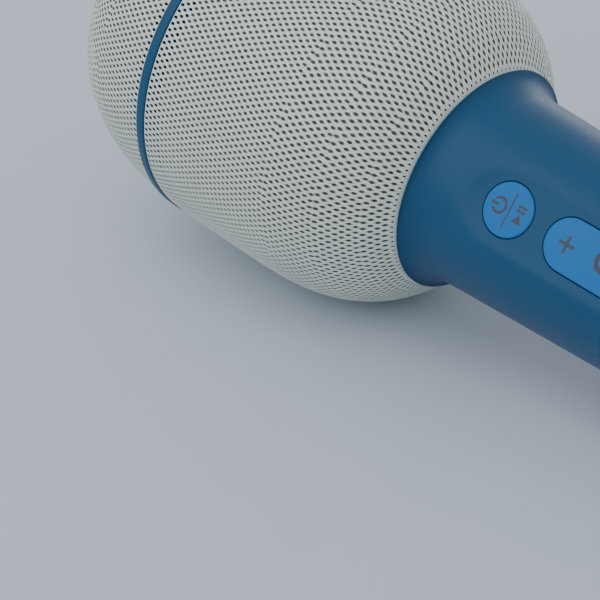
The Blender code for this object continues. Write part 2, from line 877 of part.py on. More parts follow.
def button_electronics(shop):
    under_button = -PANEL_WALL - 1.1
    under_rocker = -PANEL_WALL - 1.0
    switch(shop, "power_switch", 0.0, under_button - BUTTON_TRAVEL - 0.2)
    for name, offset in (("volume_up_switch", 9.0), ("volume_down_switch", -9.0)):
        switch(shop, name, ROCKER_CENTRE + offset, under_rocker - 1.0)
    switch(shop, "mode_switch", ROCKER_CENTRE, -PANEL_WALL - 2.7 - BUTTON_TRAVEL - 0.2)
    middle = KEY_FRAME_CENTRE
    length = KEY_FRAME_LENGTH
    board = block((length, 17.0, BOARD_WALL), (middle, 0.0, -BOARD_DEPTH - BOARD_WALL / 2))
    frame = block((length, 20.0, 2.6), (middle, 0.0, -BOARD_DEPTH + 1.6))
    window = block((length - 10.0, 15.6, 4.0), (middle, 0.0, -BOARD_DEPTH + 1.6))
    frame = cut(frame, window)
    screws = (middle - length / 2 + 2.5, middle + length / 2 - 2.5)
    for x in screws:
        board = cut(board, moved(disc(1.2, -BOARD_DEPTH - 3.0, -BOARD_DEPTH + 3.0, FEW_SIDES), x))
        frame = cut(frame, moved(disc(1.2, -BOARD_DEPTH - 3.0, -BOARD_DEPTH + 2.2, FEW_SIDES), x))
    shop.add("button_board", board, "board_green", shop.panel)
    shop.add("key_frame", frame, "black_plastic", shop.panel)
    for index, x in enumerate(screws):
        low = -BOARD_DEPTH - 1.5
        mesh = screw(0.9, 1.9, low, 3.0)
        shop.add(f"board_screw_{index + 1}", mesh, "steel", shop.panel, (x, 0.0, 0.0))


# ---------------------------------------------------------------- inside the handle


def chassis(shop):
    """Flat tray with a bulkhead at each end of the cell and two screw bosses at the tail."""
    middle = (TRAY_TOP + TRAY_END) / 2
    plate = block((TRAY_WALL, 25.0, TRAY_TOP - TRAY_END), (TRAY_LOW + TRAY_WALL / 2, 0.0, middle))
    solids = [plate]
    for height in (CELL_TOP + 1.2, CELL_TOP - CELL_LENGTH - 1.2):
        solids.append(block((18.0, 14.0, 1.6), (TRAY_LOW - 8.5, 0.0, height)))
    low = TRAY_END - 3.5
    lower_boss = moved(disc(2.4, low, CELL_TOP - CELL_LENGTH - 1.5, FEW_SIDES), -TAIL_SCREW)
    upper_boss = moved(disc(2.4, low, TRAY_END + 8.0, FEW_SIDES), TAIL_SCREW)
    web = block((5.0, 2.0, 8.0), (TAIL_SCREW - 2.5, 0.0, TRAY_END + 4.0))
    solids += [lower_boss, upper_boss, web]
    holes = [
        moved(disc(1.3, low - 1.0, low + 4.5, FEW_SIDES), side * TAIL_SCREW) for side in (-1, 1)
    ]
    shop.add("chassis", cut(merge(*solids), *holes), "black_plastic", shop.tray)


def handle_electronics(shop):
    cell = disc(CELL_RADIUS, CELL_TOP - CELL_LENGTH, CELL_TOP)
    shop.add("battery_cell", cell, "cell_wrap", shop.tray, (CELL_CENTRE, 0.0, 0.0))
    board_low = TRAY_LOW + TRAY_WALL + BOARD_CLEARANCE
    board = block((BOARD_WALL, 22.0, 72.0), (board_low + BOARD_WALL / 2, 0.0, -54.0))
    shop.add("main_board", board, "board_green", shop.tray)
    can = block((1.8, 12.0, 16.0), (board_low + BOARD_WALL + GAP + 0.9, 0.0, -80.0), 0.3)
    shop.add("radio_module", can, "steel", shop.tray)
    capacitor = disc(3.0, -104.0, -93.0, FEW_SIDES)
    place = (TRAY_LOW + TRAY_WALL + 3.6, 5.0, 0.0)
    shop.add("buffer_capacitor", capacitor, "black_plastic", shop.tray, place)
    charge = block((12.0, 20.0, BOARD_WALL), (0.0, 0.0, TAIL + 9.2))
    shop.add("charge_board", charge, "board_green", shop.tray)
    shell = block((3.2, 9.0, 7.0), (0.0, 0.0, TAIL + 4.4))
    mouth = block((2.4, 8.2, 6.0), (0.0, 0.0, TAIL + 1.9))
    shop.add("charge_socket", cut(shell, mouth), "steel", shop.tray)


def fasteners(shop):
    for index, (x, y) in enumerate(around(3, NECK_SCREWS)):
        mesh = screw(0.95, 1.5, SHELF_HEIGHT, 6.5)
        shop.add(f"neck_screw_{index + 1}", mesh, "steel", shop.axis, (x, y, 0.0))
    for index, (x, y) in enumerate(around(4, SPEAKER_SCREWS)):
        mesh = screw(0.6, 1.6, -SPEAKER_FACE - GAP, 4.6)
        shop.add(
            f"speaker_screw_{index + 1}",
            mesh,
            "steel",
            shop.axis,
            (x, y, 0.0),
            (math.pi, 0.0, 0.0),
        )
    for index, side in enumerate((-1, 1)):
        mesh = screw(1.0, 2.0, TAIL + 1.0, 9.0, 0.8)
        place = (side * TAIL_SCREW, 0.0, 0.0)
        shop.add(f"tail_screw_{index + 1}", mesh, "steel", shop.tray, place)


def speaker_lead(shop):
    x, y = lead_place(LEAD_RADIUS, 1)
    route = [
        (9.6, 8.0, -24.0),
        (10.0, 8.5, -15.0),
        (13.6, 9.6, -10.8),
        (16.0, 9.4, -7.0),
        (x, y, -3.0),
        (x, y, 3.0),
        (16.2, 9.4, 6.0),
    ]
    shop.add("speaker_lead", tube(route, WIRE_RADIUS), "lead_red", shop.tray)


def capsule_lead(shop):
    x, y = lead_place(LEAD_RADIUS, -1)
    route = [(9.6, -8.0, -24.0), (10.0, -8.5, -15.0), (13.6, -9.6, -10.8), (16.0, -9.4, -7.0)]
    route.append((x, y, -3.0))
    route += [(*lead_place(r, -1), z) for r, z in CAPSULE_SLANT]
    route += [(*lead_place(r, -1), z) for r, z in ((28.2, 47.0), (22.0, 54.0), (6.0, 55.6))]
    route += [(0.0, 0.0, 60.0), (0.0, 0.0, 72.0), (0.0, 0.0, CAPSULE_BASE - 0.6)]
    shop.add("capsule_lead", tube(route, WIRE_RADIUS), "lead_red", shop.tray)


def battery_lead(shop):
    route = [
        (-4.0, 9.0, CELL_TOP + 1.0),
        (-1.5, 11.5, CELL_TOP + 5.0),
        (3.0, 14.2, CELL_TOP + 9.0),
        (7.6, 13.6, CELL_TOP + 12.0),
        (9.8, 11.0, CELL_TOP + 14.0),
        (9.8, 8.6, CELL_TOP + 17.0),
    ]
    shop.add("battery_lead", tube(route, WIRE_RADIUS), "lead_red", shop.tray)


def lay_down(shop):
    """Lift the axis until head and tail touch the floor, and centre the length on the origin."""
    head, _ = lowest(TILT)
    shop.axis.location = Vector((0.0, 0.0, head)) * MM
    bpy.context.view_layer.update()
    graph = bpy.context.evaluated_depsgraph_get()
    along = []
    for piece in shop.parts.objects:
        shape = piece.evaluated_get(graph)
        along += [(shape.matrix_world @ vertex.co).x for vertex in shape.data.vertices]
    shop.axis.location.x = -(min(along) + max(along)) / 2


def main():
    clear_scene()
    shop = Workshop()
    handle_shell(shop)
    tail_cap(shop)
    lower_grille(shop)
    upper_grille(shop)
    seam_ring(shop)
    foams(shop)
    neck_flange(shop)
    head_cage(shop)
    divider_plate(shop)
    speaker(shop)
    capsule(shop)
    power_button(shop)
    volume_rocker(shop)
    rocker_cradle(shop)
    button_electronics(shop)
    chassis(shop)
    handle_electronics(shop)
    fasteners(shop)
    speaker_lead(shop)
    capsule_lead(shop)
    battery_lead(shop)
    lay_down(shop)


if __name__ == "__main__":
    main()
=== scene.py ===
"""Karaoke microphone with a loudspeaker head, lying on its side.

Each operator builds one piece, or one group of like pieces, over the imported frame. Shapes are drawn
in millimetres along the microphone's own axis, then laid down into the frame.
"""

import json
import math

import bmesh
import bpy
import numpy as np
from bpy.props import FloatProperty, FloatVectorProperty, IntProperty, PointerProperty
from mathutils import Matrix, Vector


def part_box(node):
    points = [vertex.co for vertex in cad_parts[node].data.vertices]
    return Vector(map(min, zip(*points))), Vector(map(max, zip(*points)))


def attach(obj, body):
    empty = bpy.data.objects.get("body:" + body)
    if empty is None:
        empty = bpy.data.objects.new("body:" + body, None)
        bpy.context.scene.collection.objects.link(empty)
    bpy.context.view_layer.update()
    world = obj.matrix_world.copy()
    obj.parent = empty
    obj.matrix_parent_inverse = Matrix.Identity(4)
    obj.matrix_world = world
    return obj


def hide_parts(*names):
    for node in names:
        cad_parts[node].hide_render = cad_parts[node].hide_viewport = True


bl_info = {
    "name": "Karaoke Microphone",
    "version": (1, 0, 0),
    "blender": (4, 5, 0),
    "location": "View3D > Sidebar > Microphone",
    "description": "Builds a loudspeaker microphone piece by piece",
    "category": "Object",
}

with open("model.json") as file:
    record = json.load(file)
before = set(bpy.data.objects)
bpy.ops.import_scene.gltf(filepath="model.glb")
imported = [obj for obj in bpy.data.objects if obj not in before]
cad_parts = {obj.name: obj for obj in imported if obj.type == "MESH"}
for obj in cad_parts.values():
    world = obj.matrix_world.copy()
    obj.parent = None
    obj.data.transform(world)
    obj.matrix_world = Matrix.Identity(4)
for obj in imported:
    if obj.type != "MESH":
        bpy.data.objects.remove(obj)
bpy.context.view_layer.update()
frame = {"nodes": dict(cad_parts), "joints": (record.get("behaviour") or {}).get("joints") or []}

MM = 0.001
GAP = 0.3

# The grille's egg, widest at its waist.
EGG_RADIUS = 42.0
EGG_WAIST = 38.4
EGG_LOWER_LENGTH = 44.4
EGG_LOWER_POWER = 2.88
EGG_UPPER_LENGTH = 69.6
EGG_UPPER_POWER = 4.0
TIP = EGG_WAIST + EGG_UPPER_LENGTH
RIM_LENGTH = 0.3
GRILLE_WALL = 0.9
FOAM_WALL = 2.2
FOAM_INSET = GRILLE_WALL + 2 * GAP
FOAM_START = 1.0
FOAM_SEAM_GAP = 1.5

SEAM_HEIGHT = 65.2
SEAM_WIDTH = 2.4
SEAM_PROUD = 0.35
SEAM_EDGE = 0.45
SEAM_WALL = 1.4
SEAM_SEAT = 3.6
GRILLE_LOW_END = SEAM_HEIGHT - SEAM_WIDTH / 2 - GAP
GRILLE_HIGH_START = SEAM_HEIGHT + SEAM_WIDTH / 2 + GAP

COLLAR_RADIUS = 26.6
COLLAR_LIP = 0.5
FLARE_LENGTH = 6.5
SEAT_HEIGHT = -1.3
LEDGE_WIDTH = 1.2
SHELF_RADIUS = 22.4
SHELF_HEIGHT = -4.8
HANDLE_RADIUS = 23.2
HANDLE_TAPER = 0.04
HANDLE_LENGTH = 148.0
HANDLE_WALL = 2.2
TAIL_CAP_LENGTH = 3.0
TAIL = -HANDLE_LENGTH - TAIL_CAP_LENGTH
TAIL_EDGE = 1.2
PLUG_WALL = 1.8
PLUG_LENGTH = 6.0
TAIL_SCREW = 9.6
SCREW_WELL = 2.35
SCREW_HOLE = 1.3

# The charging socket. Its length lies between the middles of its round ends.
SOCKET_LENGTH = 5.8
SOCKET_RADIUS = 1.6
SOCKET_BORE = 1.3
SOCKET_MOUTH = TAIL + 0.9
SOCKET_DEPTH = 7.0
SOCKET_EDGE = 0.15
INLET_RADIUS = 2.0
TONGUE = (0.7, 6.7, 3.5)
TONGUE_START = SOCKET_MOUTH + 1.0
CONTACT = (0.1, 0.25, 2.6)
CONTACT_COUNT = 12
CONTACT_PITCH = 0.5

PANEL_ROLL = math.radians(-58.4)
PANEL_DEPTH = 2.0
PANEL_RADIUS = 9.8
PANEL_START = 22.0
PANEL_LENGTH = 36.2
PANEL_WALL = 2.0
PANEL_PAD = 1.6

# The panel's soft edge: its steep part, the share of the step that it takes, and how round its
# upper corner and its foot are. The rest of the step is a longer slope.
STEEP_POWER = 1.5
STEEP_SHARE = 0.4
STEEP_CORNER = 0.2
SLOPE_REACH = 2.5
FOOT_ROUND = 0.2

# Steps along and round the handle, which are finer over the panel. Turns are in degrees.
FLARE_STEPS = 24
FINE_LENGTH = 59.0
FINE_STEPS = 200
PLAIN_STEPS = 16
BORE_STEPS = 62
FINE_ARC = 34
FINE_TURN = 0.5
COARSE_TURN = 4

BUTTON_RADIUS = 6.0
BUTTON_PROUD = 0.3
BUTTON_GAP = 0.18
KEY_UNDERSIDE = -PANEL_WALL - GAP
KEY_EDGE = 0.4
HOLE_CHAMFER = 0.12
FLANGE = 1.2
FLANGE_DEPTH = 0.8
ROCKER_RADIUS = 5.9
ROCKER_CENTRE = -26.2
ROCKER_LENGTH = 20.0
MARK_ROOT = 0.05
ARC_STEPS = 28

# Height where the plain spot at the top of the dome begins.
CROWN_EDGE = 107.94

# Bands of holes up a grille: piece, height where the band ends, holes in a row, row height.
LOWER_BANDS = (
    ("neck", 5.5, 118, 1.62),
    ("neck", 14.0, 136, 1.58),
    ("flank", 26.0, 152, 1.4),
    ("waist", 45.0, 168, 1.33),
    ("barrel", GRILLE_LOW_END, 168, 1.33),
)
UPPER_BANDS = (
    ("band", 84.0, 164, 1.33),
    ("shoulder", 93.0, 148, 1.33),
    ("shoulder", 98.5, 126, 1.33),
    ("crown", 102.5, 104, 1.33),
    ("crown", 105.2, 80, 1.33),
    ("crown", 106.9, 56, 1.33),
    ("crown", 107.7, 32, 1.33),
    ("crown", CROWN_EDGE, 18, 1.4),
)
HOLE_FLARE = 1.4
HOLE_FLARE_DEPTH = 0.35
SMALL_ROWS = 2
WELD_DISTANCE = 0.02 * MM
OUTLINE_STEPS = 400
DOME_STEPS = 240
FOAM_STEPS = 32
FOAM_DOME_SKIP = 8

# Flats round the keys and liners, the screws and the crown, and round each end of the long key.
SMALL_SIDES = 96
SCREW_SIDES = 48
CROWN_SIDES = 64
KEY_ARC = 48

# Repeats to the metre in the materials, and how much they mirror.
CLOUD_SCALE = 55.0
FOAM_SCALE = 1500.0
METAL_SPECULAR = 0.5
PLASTIC_SPECULAR = 0.24
FOAM_SPECULAR = 0.2

LIGHT_AIM = Vector((0.0, 0.0, 0.04))


# ---- settings


def number_property(name, description, default, **settings):
    return FloatProperty(name=name, description=description, default=default, **settings)


def length_property(name, description, default):
    return number_property(name, description, default, unit="LENGTH")


def share_property(name, description, default):
    return number_property(name, description, default, subtype="FACTOR")


def angle_property(name, description, degrees):
    return number_property(name, description, math.radians(degrees), subtype="ANGLE")


def colour_property(name, description, default):
    settings = {"size": 3, "min": 0.0, "max": 1.0, "subtype": "COLOR"}
    return FloatVectorProperty(name=name, description=description, default=default, **settings)


class MicShape(bpy.types.PropertyGroup):
    """Sizes that change how the pieces are finished."""

    sheet: length_property("Grille sheet", "Thickness of the perforated sheet", 0.00008)
    hole_width: share_property("Hole width", "Width of a hole as a share of its column", 0.48)
    hole_height: share_property("Hole height", "Height of a hole as a share of its row", 0.88)
    small_holes: share_property("Small holes", "Size of the first rows' holes, as a share", 0.6)
    round_steps: IntProperty(
        name="Round steps", description="Flats round a turned piece", default=192, min=32
    )
    panel_blend: length_property("Panel blend", "Width of the button panel's soft edge", 0.0036)
    mark_height: length_property("Mark height", "How far the marks stand above the keys", 0.00003)


class MicColours(bpy.types.PropertyGroup):
    """Colours of the finishes."""

    body: colour_property("Body", "Handle, ring and tail plastic", (0.013, 0.078, 0.172))
    keys: colour_property("Keys", "Button plastic", (0.020, 0.160, 0.460))
    marks: colour_property("Marks", "Printed symbols", (0.070, 0.085, 0.110))
    grille: colour_property("Grille", "Grille paint", (0.73, 0.785, 0.715))
    foam: colour_property("Foam", "Foam behind the grille", (0.25, 0.26, 0.25))
    floor: colour_property("Floor", "Studio floor", (0.60, 0.66, 0.75))


class MicStudio(bpy.types.PropertyGroup):
    """Light and camera."""

    key_power: number_property("Key", "Power of the low light behind", 2.7)
    fill_power: number_property("Fill", "Power of the light above the front", 13.0)
    world: number_property("World", "Strength of the ambient light", 0.72)
    azimuth: angle_property("Azimuth", "Turn of the camera about the vertical", 44.9)
    elevation: angle_property("Elevation", "How far the camera looks down", 30.16)
    lens: number_property("Lens", "Focal length in millimetres", 144.0)
    collar_right: length_property("Collar right", "Collar's distance right of the middle", 0.03928)
    collar_up: length_property("Collar up", "Collar's distance above the middle", 0.02667)
    distance: length_property("Distance", "How far the collar lies ahead of the camera", 0.5293)


# ---- the microphone's frames


def turn_to(x, y, z):
    """Matrix that turns the axes to these directions."""
    return Matrix((x, y, z)).transposed().to_4x4()


def frame_axis():
    """Matrix from millimetres along the microphone's axis to the frame. Z runs to the head."""
    travel = next(j for j in frame["joints"] if j["name"] == "cone_travel")
    along = Vector(travel["axis"]).normalized()
    across = Vector((0.0, 1.0, 0.0))
    out = across.cross(along)
    low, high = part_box("seam_ring")
    origin = (low + high) / 2 - along * SEAM_HEIGHT * MM
    return Matrix.Translation(origin) @ turn_to(out, across, along) @ Matrix.Scale(MM, 4)


def panel_axis():
    """Matrix from the button panel's axes to the microphone's. X runs to the head, Z out."""
    slope = math.atan(HANDLE_TAPER)
    depth = handle_radius(-PANEL_START) - PANEL_DEPTH
    out = Vector((math.cos(PANEL_ROLL), math.sin(PANEL_ROLL), 0.0))
    origin = out * depth - Vector((0.0, 0.0, PANEL_START))
    along = Vector((0.0, 0.0, math.cos(slope))) + out * math.sin(slope)
    normal = out * math.cos(slope) - Vector((0.0, 0.0, math.sin(slope)))
    return Matrix.Translation(origin) @ turn_to(along, normal.cross(along), normal)


def egg_radius(height):
    """Outer radius of the grille at a height above the collar edge."""
    if height < EGG_WAIST:
        part = (EGG_WAIST - height) / EGG_LOWER_LENGTH
        power = EGG_LOWER_POWER
    else:
        part = (height - EGG_WAIST) / EGG_UPPER_LENGTH
        power = EGG_UPPER_POWER
    return EGG_RADIUS * math.sqrt(max(0.0, 1.0 - part**power))


def handle_radius(height):
    """Outer radius of the handle, with the flare that makes the collar."""
    flare = min(1.0, max(0.0, 1.0 + (height + COLLAR_LIP) / FLARE_LENGTH))
    taper = HANDLE_RADIUS + HANDLE_TAPER * height
    return taper + (COLLAR_RADIUS - HANDLE_RADIUS) * (1.0 - math.sqrt(1.0 - flare**2))


def bore_radius(height):
    """Inner radius of the handle tube."""
    return HANDLE_RADIUS + HANDLE_TAPER * height - HANDLE_WALL


AXIS = frame_axis()
PANEL = AXIS @ panel_axis()
TRAY = AXIS @ Matrix.Rotation(PANEL_ROLL, 4, "Z")
ACROSS = Matrix.Rotation(math.pi / 2, 4, "Z")


# ---- mesh helpers


def new_mesh(name, shape, outward=True):
    """A mesh from a bmesh, which is freed. Outward turns its faces out first."""
    if outward:
        bmesh.ops.recalc_face_normals(shape, faces=shape.faces[:])
    mesh = bpy.data.meshes.new(name)
    shape.to_mesh(mesh)
    shape.free()
    return mesh


def linked(name, data):
    """A new object in the scene."""
    made = bpy.data.objects.new(name, data)
    bpy.context.scene.collection.objects.link(made)
    return made


def evaluated(holder):
    """The mesh that an object's modifiers make."""
    bpy.context.view_layer.update()
    graph = bpy.context.evaluated_depsgraph_get()
    return bpy.data.meshes.new_from_object(holder.evaluated_get(graph))


def remove(things):
    """Takes helper objects away again."""
    for thing in things:
        bpy.data.objects.remove(thing, do_unlink=True)


def finish_piece(name, mesh, place, body, slot, look=None, sharp=35.0):
    """An object at the origin with the mesh laid into the frame, its material and its body."""
    mesh.transform(place)
    mesh.shade_smooth()
    mesh.set_sharp_from_angle(angle=math.radians(sharp))
    mesh.materials.clear()
    mesh.materials.append(look or finishes()[slot])
    mesh.name = name
    piece = linked(name, mesh)
    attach(piece, body)
    return piece


def rounded(points, steps=5):
    """An outline from points of (radius, height), or (radius, height, round) to round a corner."""
    outline = []
    for index, point in enumerate(points):
        here = Vector(point[:2])
        if len(point) < 3:
            outline.append(tuple(here))
            continue
        size = point[2]
        before = Vector(points[index - 1][:2]) - here
        after = Vector(points[(index + 1) % len(points)][:2]) - here
        half = before.angle(after) / 2
        reach = size / math.tan(half)
        start = here + before.normalized() * reach
        end = here + after.normalized() * reach
        inward = (before.normalized() + after.normalized()).normalized()
        middle = here + inward * (size / math.sin(half))
        for step in range(steps + 1):
            chord = start.lerp(end, step / steps) - middle
            outline.append(tuple(middle + chord.normalized() * size))
    return outline


def turned(profile, sides):
    """A closed solid turned about Z from a closed outline of (radius, height) points."""
    shape = bmesh.new()
    points = [shape.verts.new((r, 0.0, z)) for r, z in profile]
    edges = [shape.edges.new(pair) for pair in zip(points, points[1:])]
    if profile[0][0] > 0 or profile[-1][0] > 0:
        edges.append(shape.edges.new((points[-1], points[0])))
    about = {"cent": (0, 0, 0), "axis": (0, 0, 1), "angle": math.tau}
    bmesh.ops.spin(shape, geom=points + edges, steps=sides, use_merge=True, **about)
    bmesh.ops.remove_doubles(shape, verts=shape.verts[:], dist=1e-5)
    return new_mesh("turned", shape)


def wall(shape, under, over):
    """Faces that join two closed loops of the same count."""
    for index in range(len(under)):
        follow = (index + 1) % len(under)
        shape.faces.new((under[index], under[follow], over[follow], over[index]))


def pill(levels, length, arc=24, centre=0.0):
    """A closed prism with round ends, through levels of (radius, height) from low to high."""
    shape = bmesh.new()
    loops = []
    for radius, height in levels:
        loop = []
        for end in (0, 1):
            side = length * (0.5 - end)
            for step in range(arc + 1):
                angle = math.pi * (step / arc - 0.5 + end)
                x = centre + (side + radius * math.cos(angle))
                loop.append(shape.verts.new((x, radius * math.sin(angle), height)))
        loops.append(loop)
    for under, over in zip(loops, loops[1:]):
        wall(shape, under, over)
    shape.faces.new(list(reversed(loops[0])))
    shape.faces.new(loops[-1])
    bmesh.ops.remove_doubles(shape, verts=shape.verts[:], dist=1e-6)
    return new_mesh("pill", shape, outward=False)


def slabs(outlines, low, high):
    """Closed flat slabs, one for each outline of (x, y) points, from low to high."""
    shape = bmesh.new()
    for outline in outlines:
        under = [shape.verts.new((x, y, low)) for x, y in outline]
        over = [shape.verts.new((x, y, high)) for x, y in outline]
        wall(shape, under, over)
        shape.faces.new(list(reversed(under)))
        shape.faces.new(over)
    shape.normal_update()
    bmesh.ops.triangulate(shape, faces=[f for f in shape.faces if len(f.verts) > 4])
    return new_mesh("slabs", shape)


def block(size, centre):
    """A box."""
    shape = bmesh.new()
    bmesh.ops.create_cube(shape, size=1.0)
    bmesh.ops.scale(shape, vec=Vector(size), verts=shape.verts[:])
    bmesh.ops.translate(shape, vec=Vector(centre), verts=shape.verts[:])
    return new_mesh("block", shape, outward=False)


def placed(mesh, matrix):
    """The same mesh, moved."""
    mesh.transform(matrix)
    return mesh


def carved(mesh, tools):
    """The mesh with the tools taken away, by exact Booleans."""
    holders = [linked("carved", mesh)]
    for tool in tools:
        holders.append(linked("carver", tool))
        step = holders[0].modifiers.new("carving", "BOOLEAN")
        step.operation = "DIFFERENCE"
        step.solver = "EXACT"
        step.object = holders[-1]
    result = evaluated(holders[0])
    remove(holders)
    return result


def joined(meshes):
    """Several meshes as one mesh of separate shells."""
    shape = bmesh.new()
    for mesh in meshes:
        shape.from_mesh(mesh)
    return new_mesh("joined", shape, outward=False)


# ---- materials


def fill(tree, made, inputs):
    """Sets a node's inputs, given as values or as sockets to link."""
    for key, value in inputs.items():
        if isinstance(value, bpy.types.NodeSocket):
            tree.links.new(value, made.inputs[key])
        else:
            made.inputs[key].default_value = value


def node(tree, kind, inputs=None, **settings):
    """A new node with its settings and its inputs."""
    made = tree.nodes.new(kind)
    for key, value in settings.items():
        setattr(made, key, value)
    fill(tree, made, inputs or {})
    return made


def object_place(tree):
    """Object coordinates, in metres."""
    return node(tree, "ShaderNodeTexCoord").outputs["Object"]


def noise(tree, scale, detail, roughness=0.5):
    """Noise from 0 to 1. Scale is in repeats to the metre."""
    inputs = {"Vector": object_place(tree), "Scale": scale, "Detail": detail}
    return node(tree, "ShaderNodeTexNoise", {**inputs, "Roughness": roughness}).outputs["Fac"]


def tinted(tree, value, colour, dark, light):
    """A colour that goes from dark to light shares of itself by the value."""
    mix = node(tree, "ShaderNodeMix", {"Factor": value}, data_type="RGBA")
    sockets = {socket.identifier: socket for socket in (*mix.inputs, *mix.outputs)}
    for key, share in (("A_Color", dark), ("B_Color", light)):
        shade = [min(1.0, part * share) for part in colour]
        sockets[key].default_value = (*shade, 1.0)
    return sockets["Result_Color"]


def shaded(name):
    """A new material, its node tree and its shader."""
    look = bpy.data.materials.new(name)
    look.use_nodes = True
    return look, look.node_tree, look.node_tree.nodes["Principled BSDF"]


def embossed(tree, height, strength, distance):
    """A normal bumped by a height from 0 to 1."""
    inputs = {"Strength": strength, "Distance": distance, "Height": height}
    return node(tree, "ShaderNodeBump", inputs).outputs["Normal"]


def finish(name, colour, roughness, vary=0.06, grain=1400.0, bump=0.15, depth=0.00003, metal=0.0):
    """A moulded, painted or metal finish: cloudy colour, uneven gloss and a fine grain."""
    look, tree, shader = shaded(name)
    clouds = noise(tree, CLOUD_SCALE, 3.0)
    fine = noise(tree, grain, 2.0, 0.6)
    gloss = {"Value": fine, "From Min": 0.3, "From Max": 0.7}
    gloss.update({"To Min": roughness - 0.05, "To Max": roughness + 0.06})
    inputs = {
        "Metallic": metal,
        "Specular IOR Level": METAL_SPECULAR if metal else PLASTIC_SPECULAR,
        "Base Color": tinted(tree, clouds, colour, 1 - vary, 1 + vary),
        "Roughness": node(tree, "ShaderNodeMapRange", gloss).outputs["Result"],
        "Normal": embossed(tree, fine, bump, depth),
    }
    fill(tree, shader, inputs)
    return look


def foam_finish(name, colour):
    """Open foam: dark cells of about half a millimetre."""
    look, tree, shader = shaded(name)
    place = {"Vector": object_place(tree), "Scale": FOAM_SCALE}
    cells = node(tree, "ShaderNodeTexVoronoi", place).outputs["Distance"]
    inputs = {
        "Roughness": 0.95,
        "Specular IOR Level": FOAM_SPECULAR,
        "Base Color": tinted(tree, cells, colour, 0.5, 1.5),
        "Normal": embossed(tree, cells, 0.8, 0.0002),
    }
    fill(tree, shader, inputs)
    return look


def finishes():
    """The materials of every piece by slot: name, colour, roughness, vary, grain and bump."""
    if "body_blue_moulded" in bpy.data.materials:
        return {m["mic_finish"]: m for m in bpy.data.materials if "mic_finish" in m}
    tint = bpy.context.scene.mic_colours
    made = {
        "body_blue": finish("body_blue_moulded", tint.body, 0.38, bump=0.1),
        "button_blue": finish("button_blue_moulded", tint.keys, 0.42, bump=0.1),
        "marks": finish("printed_marks", tint.marks, 0.55),
        "grille_paint": finish("grille_powder_paint", tint.grille, 0.5, 0.04, 2600.0, 0.3),
        "foam_dark": foam_finish("open_foam", tint.foam),
        "black_plastic": finish("black_moulding", (0.018, 0.018, 0.02), 0.5),
        "steel": finish("zinc_steel", (0.56, 0.57, 0.58), 0.3, metal=1.0),
        "magnet": finish("ferrite", (0.06, 0.06, 0.065), 0.6, 0.2, 900.0, 0.3),
        "rubber": finish("matt_rubber", (0.015, 0.015, 0.015), 0.8),
        "cone_paper": finish("pressed_paper", (0.05, 0.048, 0.045), 0.85, 0.25, 700.0, 0.5),
        "copper": finish("enamelled_copper", (0.75, 0.3, 0.13), 0.35, metal=1.0),
        "board_green": finish("solder_mask", (0.01, 0.12, 0.05), 0.4, 0.3, 400.0, 0.2),
        "cell_wrap": finish("shrink_wrap", (0.05, 0.3, 0.5), 0.3, 0.05, 200.0, 0.2),
        "lead_red": finish("wire_insulation", (0.5, 0.02, 0.02), 0.45),
    }
    for key, look in made.items():
        look["mic_finish"] = key
    return made


# ---- grilles


def cell_mesh(width, height):
    """One hole and the sheet round it, one unit square, from 0 down to -1, open at its sides."""
    corners = ((-1, -1), (0, -1), (1, -1), (1, 0), (1, 1), (0, 1), (-1, 1), (-1, 0))
    shape = bmesh.new()
    hole = shape.verts.layers.float.new("hole")

    def outline(depth):
        return [shape.verts.new((x / 2, y / 2, depth)) for x, y in corners]

    def opening(grow, depth):
        loop = []
        for x, y in corners:
            turn = math.atan2(y, x)
            place = (width / 2 * grow * math.cos(turn), height / 2 * grow * math.sin(turn), depth)
            point = shape.verts.new(place)
            point[hole] = 1.0
            loop.append(point)
        return loop

    loops = [outline(0.0), opening(HOLE_FLARE, 0.0), opening(1.0, -HOLE_FLARE_DEPTH)]
    loops += [opening(1.0, -1.0), outline(-1.0)]
    for under, over in zip(loops, loops[1:]):
        wall(shape, under, over)
    return new_mesh("hole_cell", shape, outward=False)


def node_group(name, sockets):
    """A Geometry Nodes tree, and its inputs, which are given with their kinds."""
    tree = bpy.data.node_groups.new(name, "GeometryNodeTree")
    for label, kind in sockets.items():
        tree.interface.new_socket(label, in_out="INPUT", socket_type="NodeSocket" + kind)
    tree.interface.new_socket("Geometry", in_out="OUTPUT", socket_type="NodeSocketGeometry")
    return tree, node(tree, "NodeGroupInput").outputs


def real_copies(tree, points, piece):
    """Copies of an object on points, with the instances made real."""
    source = node(tree, "GeometryNodeObjectInfo", {"Object": piece}).outputs["Geometry"]
    copies = node(tree, "GeometryNodeInstanceOnPoints", {"Points": points, "Instance": source})
    return node(tree, "GeometryNodeRealizeInstances", {"Geometry": copies.outputs[0]}).outputs[0]


def paint_and_end(tree, geometry, material):
    """Gives the geometry its material and ends the tree."""
    painted = node(tree, "GeometryNodeSetMaterial", {"Geometry": geometry, "Material": material})
    node(tree, "NodeGroupOutput", {"Geometry": painted.outputs[0]})


